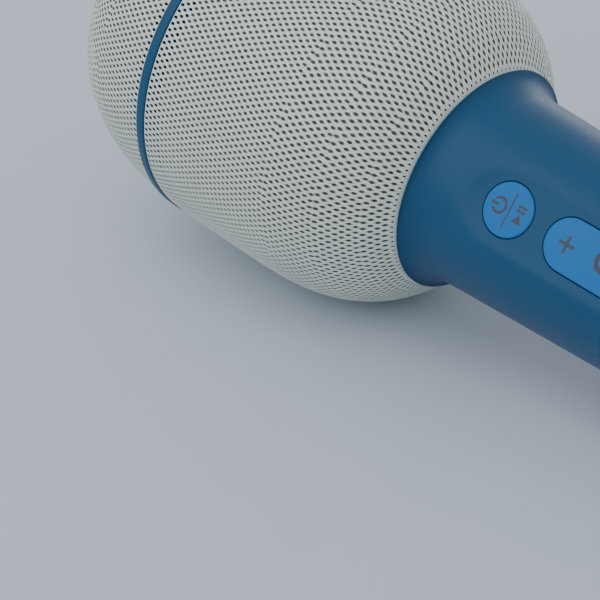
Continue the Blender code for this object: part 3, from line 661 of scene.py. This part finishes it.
def perforation_tree():
    """Geometry Nodes: staggered rows of one cell, wrapped round the axis along an outline."""
    kinds = {"Geometry": "Geometry", "Cell": "Object", "Outline": "Object", "Columns": "Int"}
    kinds.update({"Rows": "Int", "Start": "Float", "Row Height": "Float", "Sheet": "Float"})
    kinds.update({"Small Rows": "Int", "Small Holes": "Float", "Finish": "Material"})
    tree, given = node_group("perforated_sheet", kinds)

    def made(kind, inputs=None, **settings):
        return node(tree, kind, inputs, **settings).outputs

    def math_of(operation, first, second=0.0):
        return made("ShaderNodeMath", {0: first, 1: second}, operation=operation)[0]

    def vector(x, y, z):
        return made("ShaderNodeCombineXYZ", {"X": x, "Y": y, "Z": z})[0]

    def parts(value):
        return made("ShaderNodeSeparateXYZ", {"Vector": value})

    def between(value, low, high):
        return made("ShaderNodeMapRange", {"Value": value, "To Min": low, "To Max": high})["Result"]

    count = math_of("MULTIPLY", given["Columns"], given["Rows"])
    points = made("GeometryNodePoints", {"Count": count})[0]
    index = made("GeometryNodeInputIndex")[0]
    row = math_of("FLOOR", math_of("DIVIDE", math_of("ADD", index, 0.5), given["Columns"]))
    column = math_of("SUBTRACT", index, math_of("MULTIPLY", row, given["Columns"]))
    stagger = math_of("MULTIPLY", math_of("MODULO", row, 2.0), 0.5)
    across, up = math_of("ADD", column, stagger), math_of("ADD", row, 0.5)
    full_size = math_of("GREATER_THAN", up, given["Small Rows"])
    size = between(full_size, given["Small Holes"], 1.0)
    centre = vector(across, up, 0.0)
    laid = made("GeometryNodeSetPosition", {"Geometry": points, "Position": centre})[0]
    noted = made(
        "GeometryNodeStoreNamedAttribute",
        {"Geometry": laid, "Name": "cell_centre", "Value": vector(across, up, size)},
        data_type="FLOAT_VECTOR",
        domain="POINT",
    )[0]
    real = real_copies(tree, noted, given["Cell"])

    # Each hole's edge closes in on its own centre in the small rows.
    here = parts(made("GeometryNodeInputPosition")[0])
    named = "GeometryNodeInputNamedAttribute"
    own = made(named, {"Name": "cell_centre"}, data_type="FLOAT_VECTOR")["Attribute"]
    edge = made(named, {"Name": "hole"}, data_type="FLOAT")["Attribute"]
    middle = parts(own)
    shrink = between(edge, 1.0, middle["Z"])

    def drawn_in(axis):
        offset = math_of("SUBTRACT", here[axis], middle[axis])
        return math_of("ADD", middle[axis], math_of("MULTIPLY", offset, shrink))

    turn = math_of("MULTIPLY", math_of("DIVIDE", drawn_in("X"), given["Columns"]), math.tau)
    reach = math_of("ADD", given["Start"], math_of("MULTIPLY", drawn_in("Y"), given["Row Height"]))
    outline = made("GeometryNodeObjectInfo", {"Object": given["Outline"]})["Geometry"]
    along = {"Curves": outline, "Length": reach}
    sample = made("GeometryNodeSampleCurve", along, mode="LENGTH")
    lean = parts(sample["Tangent"])
    outward = vector(lean["Z"], 0.0, math_of("MULTIPLY", lean["X"], -1.0))
    depth = math_of("MULTIPLY", here["Z"], given["Sheet"])
    sunk = made("ShaderNodeVectorMath", {0: outward, "Scale": depth}, operation="SCALE")[0]
    skin = made("ShaderNodeVectorMath", {0: sample["Position"], 1: sunk}, operation="ADD")[0]
    round_axis = {"Vector": skin, "Angle": turn}
    wrapped = made("ShaderNodeVectorRotate", round_axis, rotation_type="Z_AXIS")[0]
    shaped = made("GeometryNodeSetPosition", {"Geometry": real, "Position": wrapped})[0]
    weld = {"Geometry": shaped, "Distance": WELD_DISTANCE}
    welded = made("GeometryNodeMergeByDistance", weld)[0]
    paint_and_end(tree, welded, given["Finish"])
    return tree


def row_tree():
    """Geometry Nodes: copies of one piece in a straight row."""
    kinds = {"Geometry": "Geometry", "Piece": "Object", "Count": "Int"}
    kinds.update({"First": "Vector", "Step": "Vector", "Finish": "Material"})
    tree, given = node_group("row_of_copies", kinds)
    places = {"Count": given["Count"], "Start Location": given["First"], "Offset": given["Step"]}
    line = node(tree, "GeometryNodeMeshLine", places).outputs["Mesh"]
    paint_and_end(tree, real_copies(tree, line, given["Piece"]), given["Finish"])
    return tree


def row_of(mesh, count, first, step, look):
    """Copies of a mesh, from the first place on, a step apart. The mesh is used up."""
    piece = linked("copied", mesh)
    values = {"Piece": piece, "Count": count, "First": first, "Step": step, "Finish": look}
    row = baked_nodes(row_tree(), values)
    remove([piece])
    return row


def baked_nodes(tree, values):
    """The mesh that a Geometry Nodes tree makes, with its inputs set by their identifiers."""
    holder = linked("holder", bpy.data.meshes.new("holder"))
    modifier = holder.modifiers.new("nodes", "NODES")
    modifier.node_group = tree
    for item in tree.interface.items_tree:
        if item.in_out == "INPUT" and item.name in values:
            modifier[item.identifier] = values[item.name]
    mesh = evaluated(holder)
    remove([holder])
    return mesh


def outline_curve(name, heights):
    """The egg's outline as a curve in metres, and the length along it at each height."""
    points = [(egg_radius(max(height, 0.0)), height) for height in heights]
    curve = bpy.data.curves.new(name, "CURVE")
    curve.dimensions = "3D"
    line = curve.splines.new("POLY")
    line.points.add(len(points) - 1)
    for point, (radius, height) in zip(line.points, points):
        point.co = (radius * MM, 0.0, height * MM, 1.0)
    steps = np.hypot(*np.diff(np.array(points), axis=0).T)
    lengths = np.concatenate(([0.0], np.cumsum(steps)))
    return linked(name, curve), lengths


def dome_heights(low):
    """Heights from low to the tip, closer together as the dome closes."""
    first = math.acos(((low - EGG_WAIST) / EGG_UPPER_LENGTH) ** 2)
    for step in range(DOME_STEPS + 1):
        rise = math.cos(first * (1 - step / DOME_STEPS))
        yield EGG_WAIST + EGG_UPPER_LENGTH * math.sqrt(max(0.0, rise))


def close_ends(mesh):
    """Walls across the open rows at both ends of a band."""
    shape = bmesh.new()
    shape.from_mesh(mesh)
    open_edges = [edge for edge in shape.edges if edge.is_boundary]
    heights = [sum(v.co.z for v in edge.verts) / 2 for edge in open_edges]
    middle = (min(heights) + max(heights)) / 2
    for side in (True, False):
        ends = [e for e, height in zip(open_edges, heights) if (height > middle) == side]
        bmesh.ops.bridge_loops(shape, edges=ends)
    return new_mesh("band", shape)


class MIC_OT_grilles(bpy.types.Operator):
    """Wrap the two perforated grilles round the head"""

    bl_idname = "mic.grilles"
    bl_label = "Grilles"

    def execute(self, context):
        sizes = context.scene.mic_shape
        paint = finishes()["grille_paint"]
        tree = perforation_tree()
        cell = linked("cell", cell_mesh(sizes.hole_width, sizes.hole_height))
        steps = range(OUTLINE_STEPS + 1)
        low_heights = [-RIM_LENGTH] + [GRILLE_LOW_END * step / OUTLINE_STEPS for step in steps]
        high_heights = list(dome_heights(GRILLE_HIGH_START))
        made = {}
        tools = [cell]
        for cad_node, heights, bands in (
            ("lower_grille", low_heights, LOWER_BANDS),
            ("upper_grille", high_heights, UPPER_BANDS),
        ):
            outline, lengths = outline_curve(cad_node, heights)
            tools.append(outline)
            low = heights[0]
            for part, high, columns, pitch in bands:
                start, end = np.interp((low, high), heights, lengths)
                rows = max(1, round((end - start) / pitch))
                values = {
                    "Cell": cell,
                    "Outline": outline,
                    "Columns": columns,
                    "Rows": rows,
                    "Start": float(start * MM),
                    "Row Height": float((end - start) / rows * MM),
                    "Sheet": sizes.sheet,
                    "Small Rows": SMALL_ROWS if low < 0 else 0,
                    "Small Holes": sizes.small_holes,
                    "Finish": paint,
                }
                band = close_ends(baked_nodes(tree, values))
                made.setdefault((cad_node, part), []).append(band)
                low = high
        crown = placed(crown_mesh(sizes.sheet / MM), Matrix.Scale(MM, 4))
        made["upper_grille", "crown"].append(crown)
        metres = AXIS @ Matrix.Scale(1 / MM, 4)
        for (cad_node, part), meshes in made.items():
            name = f"{cad_node}_{part}"
            piece = finish_piece(name, joined(meshes), metres, "casing", "grille_paint")
            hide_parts(cad_node)
        remove(tools)
        return {"FINISHED"}


def crown_mesh(sheet):
    """The plain spot at the top of the dome."""
    edge = egg_radius(CROWN_EDGE)
    middle = (edge / 2, (TIP * 3 + CROWN_EDGE) / 4)
    section = [(0.0, TIP), middle, (edge, CROWN_EDGE)]
    section += [(radius, height - sheet) for radius, height in reversed(section)]
    return turned(section, CROWN_SIDES)


class MIC_OT_foam(bpy.types.Operator):
    """Line the grilles with foam"""

    bl_idname = "mic.foam"
    bl_label = "Foam liners"

    def execute(self, context):
        low_end = SEAM_HEIGHT - SEAM_WIDTH / 2 - SEAM_SEAT / 2 - FOAM_SEAM_GAP
        high_start = SEAM_HEIGHT + SEAM_WIDTH / 2 + SEAM_SEAT / 2 + FOAM_SEAM_GAP
        rise = (low_end - FOAM_START) / FOAM_STEPS
        lower = [FOAM_START + rise * step for step in range(FOAM_STEPS + 1)]
        upper = list(dome_heights(high_start))[::FOAM_DOME_SKIP]
        for name, heights in (("lower_foam", lower), ("upper_foam", upper)):
            outside = inset_outline(heights, FOAM_INSET)
            inside = inset_outline(heights, FOAM_INSET + FOAM_WALL)
            mesh = turned(list(reversed(outside)) + inside, SMALL_SIDES)
            piece = finish_piece(name + "_liner", mesh, AXIS, "casing", "foam_dark")
            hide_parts(name)
        return {"FINISHED"}


def inset_outline(heights, inset):
    """The egg's outline moved inwards, ending on the axis if the heights reach the tip."""
    points = []
    near = 0.01
    for height in heights:
        if height > TIP - near:
            points.append((0.0, TIP - inset))
            continue
        lean = math.atan2(egg_radius(height - near) - egg_radius(height + near), 2 * near)
        radius = egg_radius(height) - inset * math.cos(lean)
        points.append((max(radius, near), height - inset * math.sin(lean)))
    return points


# ---- casing


class MIC_OT_seam_ring(bpy.types.Operator):
    """Turn the ring between the grilles"""

    bl_idname = "mic.seam_ring"
    bl_label = "Seam ring"

    def execute(self, context):
        sides = context.scene.mic_shape.round_steps
        outer = egg_radius(SEAM_HEIGHT) + SEAM_PROUD
        seat = egg_radius(SEAM_HEIGHT + SEAM_SEAT) - GRILLE_WALL - GAP
        inner = seat - SEAM_WALL
        low, high = SEAM_HEIGHT - SEAM_WIDTH / 2, SEAM_HEIGHT + SEAM_WIDTH / 2
        bottom, top = low - SEAM_SEAT / 2, high + SEAM_SEAT / 2
        section = [(seat, top), (seat, high), (outer, high, SEAM_EDGE), (outer, low, SEAM_EDGE)]
        section += [(seat, low), (seat, bottom), (inner, bottom), (inner, top)]
        mesh = turned(rounded(section), sides)
        piece = finish_piece("seam_ring_moulding", mesh, AXIS, "casing", "body_blue", sharp=50.0)
        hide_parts("seam_ring")
        return {"FINISHED"}


def pressed(place, to_panel, floor, radius, blend):
    """A point of the tube pressed down to the panel's floor, with a soft edge round the panel."""
    x, y, z = to_panel @ place
    nearest = min(0.0, max(-PANEL_LENGTH, x))
    inside = math.hypot(x - nearest, y) - radius
    climb = max(0.0, 1.0 + inside / blend)
    steep = climb**STEEP_POWER
    edge = (steep + 1.0 - math.hypot(steep - 1.0, STEEP_CORNER)) / 2
    slope = min(1.0, climb / SLOPE_REACH)
    keep = STEEP_SHARE * edge + (1.0 - STEEP_SHARE) * slope * slope * (3 - 2 * slope)
    rise = z - floor
    sunk = floor + (rise - math.hypot(rise, FOOT_ROUND)) / 2
    return to_panel.inverted() @ Vector((x, y, sunk + (z - sunk) * keep))


class MIC_OT_handle(bpy.types.Operator):
    """Turn the handle with its collar, press its button panel and cut the key holes"""

    bl_idname = "mic.handle"
    bl_label = "Handle"

    def execute(self, context):
        blend = context.scene.mic_shape.panel_blend / MM
        levels = [(0.0, -6.0), (0.0, -HOLE_CHAMFER), (HOLE_CHAMFER, 0.02), (HOLE_CHAMFER, 4.0)]
        panel = panel_axis()
        tools = []
        for radius, length, centre in (
            (BUTTON_RADIUS, 0.0, 0.0),
            (ROCKER_RADIUS, ROCKER_LENGTH, ROCKER_CENTRE),
        ):
            hole = [(radius + BUTTON_GAP + grow, height) for grow, height in levels]
            tools.append(placed(pill(hole, length, KEY_ARC, centre), panel))
        mesh = carved(self.tube(blend), tools)
        piece = finish_piece("handle_moulding", mesh, AXIS, "casing", "body_blue", sharp=28.0)
        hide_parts("handle_shell")
        return {"FINISHED"}

    def tube(self, blend):
        """The tube as a closed skin, finer over the button panel."""
        flare_end = COLLAR_LIP + FLARE_LENGTH
        fine_end = flare_end + FINE_LENGTH
        outside = []
        for step in range(FLARE_STEPS + 1):
            part = math.sin(math.pi / 2 * (1 - step / FLARE_STEPS))
            outside.append(-COLLAR_LIP - FLARE_LENGTH * (1 - part))
        for step in range(1, FINE_STEPS + 1):
            outside.append(-flare_end - FINE_LENGTH * step / FINE_STEPS)
        for step in range(1, PLAIN_STEPS + 1):
            outside.append(-fine_end - (HANDLE_LENGTH - fine_end) * step / PLAIN_STEPS)
        outside = [(handle_radius(height), height) for height in outside]
        rebate = egg_radius(0.0) + GAP
        ledge = rebate - LEDGE_WIDTH
        lip = [(COLLAR_RADIUS - COLLAR_LIP, 0.0), (rebate, 0.0), (rebate, -RIM_LENGTH - GAP)]
        lip += [(ledge, -RIM_LENGTH - GAP), (ledge, SEAT_HEIGHT)]
        lip += [(SHELF_RADIUS, SEAT_HEIGHT), (SHELF_RADIUS, SHELF_HEIGHT)]
        bore = [SHELF_HEIGHT - step for step in range(BORE_STEPS)] + [-80.0, -HANDLE_LENGTH]
        section = list(reversed(outside)) + lip
        section += [(bore_radius(height), height) for height in bore]
        roll = math.degrees(PANEL_ROLL)
        fine = range(round(2 * FINE_ARC / FINE_TURN) + 1)
        coarse = range(1, round((360 - 2 * FINE_ARC) / COARSE_TURN))
        turns = [roll - FINE_ARC + FINE_TURN * step for step in fine]
        turns += [roll + FINE_ARC + COARSE_TURN * step for step in coarse]
        to_panel = panel_axis().inverted()
        shape = bmesh.new()
        columns = []
        for turn in turns:
            angle = math.radians(turn)
            column = []
            for index, (radius, height) in enumerate(section):
                place = Vector((radius * math.cos(angle), radius * math.sin(angle), height))
                if index < len(outside):
                    place = pressed(place, to_panel, 0.0, PANEL_RADIUS, blend)
                elif index >= len(outside) + len(lip):
                    place = pressed(place, to_panel, -PANEL_WALL, PANEL_RADIUS + PANEL_PAD, blend)
                column.append(shape.verts.new(place))
            columns.append(column)
        for index, column in enumerate(columns):
            beside = columns[(index + 1) % len(columns)]
            for step in range(len(section)):
                follow = (step + 1) % len(section)
                shape.faces.new((column[step], beside[step], beside[follow], column[follow]))
        return new_mesh("tube", shape)


class MIC_OT_tail(bpy.types.Operator):
    """Close the handle with its tail cap, screws and charging socket"""

    bl_idname = "mic.tail"
    bl_label = "Tail"

    def execute(self, context):
        sides = context.scene.mic_shape.round_steps
        outer = handle_radius(TAIL)
        plug = bore_radius(-HANDLE_LENGTH) - GAP
        bore = plug - PLUG_WALL
        top = TAIL + TAIL_CAP_LENGTH - GAP
        end = top + PLUG_LENGTH
        section = [(0, top), (bore, top), (bore, end), (plug, end), (plug, top)]
        section += [(outer, top), (outer, TAIL, TAIL_EDGE), (0, TAIL)]
        to_tray = Matrix.Rotation(PANEL_ROLL, 4, "Z")
        inlet = pill([(INLET_RADIUS, TAIL - 1.0), (INLET_RADIUS, TAIL + 8.0)], SOCKET_LENGTH)
        tools = [placed(inlet, to_tray @ ACROSS)]
        below, above = TAIL - 1.0, TAIL + 7.0
        well = [(0, below), (SCREW_WELL, below), (SCREW_WELL, TAIL + 1.3)]
        well += [(SCREW_HOLE, TAIL + 2.0), (SCREW_HOLE, above), (0, above)]
        for side in (-1, 1):
            place = to_tray @ Matrix.Translation((side * TAIL_SCREW, 0, 0))
            tools.append(placed(turned(well, SCREW_SIDES), place))
        mesh = carved(turned(rounded(section, 8), sides), tools)
        piece = finish_piece("tail_cap_moulding", mesh, AXIS, "casing", "body_blue")
        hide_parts("tail_cap")
        looks = finishes()
        self.screws(looks["steel"])
        self.socket(looks["copper"])
        return {"FINISHED"}

    def screws(self, steel):
        """Two screws with crossed slots in their heads."""
        seat = TAIL + 1.0
        face = seat - 0.8
        section = [(0, seat + 9.0), (0.7, seat + 9.0), (1.0, seat + 8.4), (1.0, seat)]
        section += [(2.0, seat, 0.1), (2.0, face, 0.4), (0, face)]
        slots = [block(size, (0.0, 0.0, face)) for size in ((2.4, 0.5, 1.2), (0.5, 2.4, 1.2))]
        screw = carved(turned(rounded(section), SCREW_SIDES), slots)
        row = row_of(screw, 2, (-TAIL_SCREW, 0.0, 0.0), (2 * TAIL_SCREW, 0.0, 0.0), steel)
        piece = finish_piece("tail_screw_pair", row, TRAY, "casing", "steel")
        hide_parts("tail_screw_1", "tail_screw_2")

    def socket(self, copper):
        """A folded steel shell round a tongue with a row of contacts on each side."""
        levels = [
            (SOCKET_RADIUS - SOCKET_EDGE, SOCKET_MOUTH),
            (SOCKET_RADIUS, SOCKET_MOUTH + SOCKET_EDGE),
            (SOCKET_RADIUS, SOCKET_MOUTH + SOCKET_DEPTH),
        ]
        hollow = [(SOCKET_BORE, SOCKET_MOUTH - 1.0), (SOCKET_BORE, SOCKET_MOUTH + 4.6)]
        shell = carved(pill(levels, SOCKET_LENGTH), [pill(hollow, SOCKET_LENGTH)])
        place = TRAY @ ACROSS
        piece = finish_piece("charge_socket_shell", shell, place, "casing", "steel")
        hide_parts("charge_socket")
        tongue = block(TONGUE, (0.0, 0.0, TONGUE_START + TONGUE[2] / 2))
        finish_piece("charge_socket_tongue", tongue, TRAY, "casing", "black_plastic")
        strips = []
        for side in (-1, 1):
            strip = block(CONTACT, (0.0, 0.0, TONGUE_START + 1.7))
            first = (side * 0.36, -CONTACT_PITCH * (CONTACT_COUNT - 1) / 2, 0.0)
            strips.append(row_of(strip, CONTACT_COUNT, first, (0.0, CONTACT_PITCH, 0.0), copper))
        finish_piece("charge_socket_contacts", joined(strips), TRAY, "casing", "copper")


# ---- keys


def arc_outline(inner, outer, start, end):
    """A part of a ring, from one angle to another in degrees."""
    points = []
    steps = range(ARC_STEPS + 1)
    for radius, order in ((outer, steps), (inner, reversed(steps))):
        for step in order:
            angle = math.radians(start + (end - start) * step / ARC_STEPS)
            points.append((radius * math.cos(angle), radius * math.sin(angle)))
    return points


def bar_outline(x, y, length, width):
    """A bar with slightly rounded corners. Length runs along X."""
    soft = 0.3 * min(length, width)
    points = []
    for side_x, side_y, first in ((1, 1, 0), (-1, 1, 90), (-1, -1, 180), (1, -1, 270)):
        corner_x = x + side_x * (length / 2 - soft)
        corner_y = y + side_y * (width / 2 - soft)
        for step in range(5):
            angle = math.radians(first + 22.5 * step)
            points.append((corner_x + soft * math.cos(angle), corner_y + soft * math.sin(angle)))
    return points


def cross_outline(half, stroke):
    """A plus sign, from one corner turned through four quarters."""
    corner = [(half, stroke), (stroke, stroke), (stroke, half)]
    points = []
    for _ in range(4):
        points += corner
        corner = [(-y, x) for x, y in corner]
    return points


def shifted(outline, x, y):
    """The same outline, moved."""
    return [(px + x, py + y) for px, py in outline]


def headphones_outline():
    """A band that opens away from the head, with a cup at each of its ends."""
    arcs = arc_outline(1.3, 2.4, -90, 90)
    middle = len(arcs) // 2
    cup = [(-0.15, 2.55), (-2.2, 2.55), (-2.45, 2.3), (-2.45, 1.4), (-2.2, 1.15), (-0.15, 1.15)]
    other = [(x, -y) for x, y in reversed(cup)]
    return arcs[:middle] + cup + arcs[middle:] + other


def power_marks():
    """Power sign, dividing line and play/pause sign. X points to the head, Y to the left."""
    ring = shifted(arc_outline(1.3, 1.92, 36, 324), 2.35, 0.0)
    stem = bar_outline(3.45, 0.0, 1.9, 0.58)
    line = bar_outline(-0.35, 0.0, 0.32, 8.0)
    arrow = [(-1.75, 1.75), (-4.15, 1.75), (-2.95, -0.35)]
    bars = [bar_outline(-2.95, side, 2.2, 0.6) for side in (-0.9, -1.9)]
    return [ring, stem, line, arrow] + bars


def volume_marks():
    """Plus, headphones and minus signs, measured from the rocker's middle."""
    reach = 10.5
    plus = shifted(cross_outline(1.9, 0.34), reach, 0.0)
    minus = bar_outline(-reach, 0.0, 0.68, 3.8)
    return [plus, shifted(headphones_outline(), 1.05, -0.6), minus]


def print_marks(name, outlines, place, body):
    """Printed marks that stand a little above a key."""
    lift = bpy.context.scene.mic_shape.mark_height / MM
    marks = slabs(outlines, BUTTON_PROUD - MARK_ROOT, BUTTON_PROUD + lift)
    finish_piece(name, marks, place, body, "button_blue", look=finishes()["marks"])


class MIC_OT_power_button(bpy.types.Operator):
    """Mould the round key and print its marks"""

    bl_idname = "mic.power_button"
    bl_label = "Power button"

    def execute(self, context):
        under, flange = KEY_UNDERSIDE, BUTTON_RADIUS + FLANGE
        section = [(0, BUTTON_PROUD), (BUTTON_RADIUS, BUTTON_PROUD, KEY_EDGE)]
        section += [(BUTTON_RADIUS, under, 0.1), (flange, under, 0.1)]
        section += [(flange, under - FLANGE_DEPTH), (0, under - FLANGE_DEPTH)]
        mesh = turned(rounded(section, 6), SMALL_SIDES)
        key = finish_piece("power_key_cap", mesh, PANEL, "power_key", "button_blue")
        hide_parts("power_button")
        print_marks("power_key_marks", power_marks(), PANEL, "power_key")
        return {"FINISHED"}


class MIC_OT_volume_rocker(bpy.types.Operator):
    """Mould the long rocking key and print its marks"""

    bl_idname = "mic.volume_rocker"
    bl_label = "Volume rocker"

    def execute(self, context):
        under, inner = KEY_UNDERSIDE, ROCKER_RADIUS - KEY_EDGE
        flange = ROCKER_RADIUS + FLANGE
        levels = [(flange, under - 0.7), (flange, under - 0.4), (inner, under - 0.35)]
        levels += [(inner, under), (ROCKER_RADIUS, under + 0.05)]
        for step in range(7):
            angle = math.radians(15 * step)
            height = BUTTON_PROUD - KEY_EDGE + KEY_EDGE * math.sin(angle)
            levels.append((inner + KEY_EDGE * math.cos(angle), height))
        groove = block((1.6, 20.0, 0.8), (0.0, 0.0, under - 0.7))
        mesh = carved(pill(levels, ROCKER_LENGTH, KEY_ARC), [groove])
        place = PANEL @ Matrix.Translation((ROCKER_CENTRE, 0.0, 0.0))
        key = finish_piece("volume_key_cap", mesh, place, "rocker_key", "button_blue")
        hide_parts("volume_rocker")
        print_marks("volume_key_marks", volume_marks(), place, "rocker_key")
        return {"FINISHED"}


# ---- inside


class MIC_OT_insides(bpy.types.Operator):
    """Give every carried-over piece its finish"""

    bl_idname = "mic.insides"
    bl_label = "Inner pieces"

    def execute(self, context):
        looks = finishes()
        for holder in frame["nodes"].values():
            for slot in holder.material_slots:
                name = slot.material.name.split(".")[0]
                if name not in looks:
                    raise ValueError(f"{holder.name} has an unknown finish, {name}")
                slot.material = looks[name]
        return {"FINISHED"}


# ---- stage


def area_light(name, place, size, power):
    """A soft light that faces the microphone and is hidden from the camera."""
    lamp = bpy.data.lights.new(name, "AREA")
    lamp.shape = "RECTANGLE"
    lamp.size, lamp.size_y = size
    lamp.energy = power
    holder = linked(name, lamp)
    holder.location = place
    facing = (LIGHT_AIM - Vector(place)).to_track_quat("-Z", "Y")
    holder.rotation_euler = facing.to_euler()
    holder.visible_camera = False


class MIC_OT_stage(bpy.types.Operator):
    """Lay the floor and set the lights and the camera"""

    bl_idname = "mic.stage"
    bl_label = "Stage"

    def execute(self, context):
        self.floor(context.scene.mic_colours.floor)
        self.lights(context.scene)
        self.camera(context.scene)
        return {"FINISHED"}

    def floor(self, colour):
        shape = bmesh.new()
        bmesh.ops.create_grid(shape, x_segments=8, y_segments=8, size=6.0)
        mesh = new_mesh("floor", shape, outward=False)
        grain = {"vary": 0.02, "grain": 900.0, "bump": 0.2, "depth": 0.0001}
        mesh.materials.append(finish("studio_floor", colour, 0.5, **grain))
        linked("studio_floor", mesh)

    def lights(self, scene):
        studio = scene.mic_studio
        area_light("backdrop", (-0.62, 1.0, 0.22), (1.6, 0.45), studio.key_power)
        area_light("front_softbox", (-0.05, -0.95, 1.2), (2.2, 2.0), studio.fill_power)
        world = bpy.data.worlds.new("studio")
        world.use_nodes = True
        sky = world.node_tree.nodes["Background"]
        sky.inputs["Color"].default_value = (0.90, 0.95, 1.0, 1.0)
        sky.inputs["Strength"].default_value = studio.world
        scene.world = world

    def camera(self, scene):
        studio = scene.mic_studio
        turn, rise = studio.azimuth, studio.elevation
        right = Vector((math.cos(turn), math.sin(turn), 0.0))
        level = Vector((-math.sin(turn), math.cos(turn), 0.0))
        ahead = level * math.cos(rise) - Vector((0.0, 0.0, math.sin(rise)))
        up = right.cross(ahead)
        place = AXIS.translation - right * studio.collar_right - up * studio.collar_up
        place -= ahead * studio.distance
        lens = bpy.data.cameras.new("camera")
        lens.lens = studio.lens
        lens.clip_start = 0.01
        camera = linked("camera", lens)
        camera.matrix_world = Matrix.Translation(place) @ turn_to(right, up, -ahead)
        scene.camera = camera


# ---- panel and registration


class MIC_PT_panel(bpy.types.Panel):
    """Lists the microphone's pieces and settings"""

    bl_idname = "MIC_PT_panel"
    bl_label = "Karaoke Microphone"
    bl_space_type = "VIEW_3D"
    bl_region_type = "UI"
    bl_category = "Microphone"

    def draw(self, context):
        column = self.layout.column(align=True)
        for operator in OPERATORS:
            column.operator(operator.bl_idname)
        for group in (context.scene.mic_shape, context.scene.mic_colours, context.scene.mic_studio):
            box = self.layout.box().column()
            for key in group.bl_rna.properties.keys():
                if key not in ("rna_type", "name"):
                    box.prop(group, key)


GROUPS = ((MicShape, "mic_shape"), (MicColours, "mic_colours"), (MicStudio, "mic_studio"))
OPERATORS = (
    MIC_OT_grilles,
    MIC_OT_foam,
    MIC_OT_seam_ring,
    MIC_OT_handle,
    MIC_OT_tail,
    MIC_OT_power_button,
    MIC_OT_volume_rocker,
    MIC_OT_insides,
    MIC_OT_stage,
)


def register():
    for group, key in GROUPS:
        bpy.utils.register_class(group)
        setattr(bpy.types.Scene, key, PointerProperty(type=group))
    for kind in (*OPERATORS, MIC_PT_panel):
        bpy.utils.register_class(kind)


def unregister():
    for kind in (MIC_PT_panel, *reversed(OPERATORS)):
        bpy.utils.unregister_class(kind)
    for group, key in reversed(GROUPS):
        delattr(bpy.types.Scene, key)
        bpy.utils.unregister_class(group)


def main():
    register()
    bpy.ops.mic.grilles()
    bpy.ops.mic.foam()
    bpy.ops.mic.seam_ring()
    bpy.ops.mic.handle()
    bpy.ops.mic.tail()
    bpy.ops.mic.power_button()
    bpy.ops.mic.volume_rocker()
    bpy.ops.mic.insides()
    bpy.ops.mic.stage()


if __name__ == "__main__":
    main()
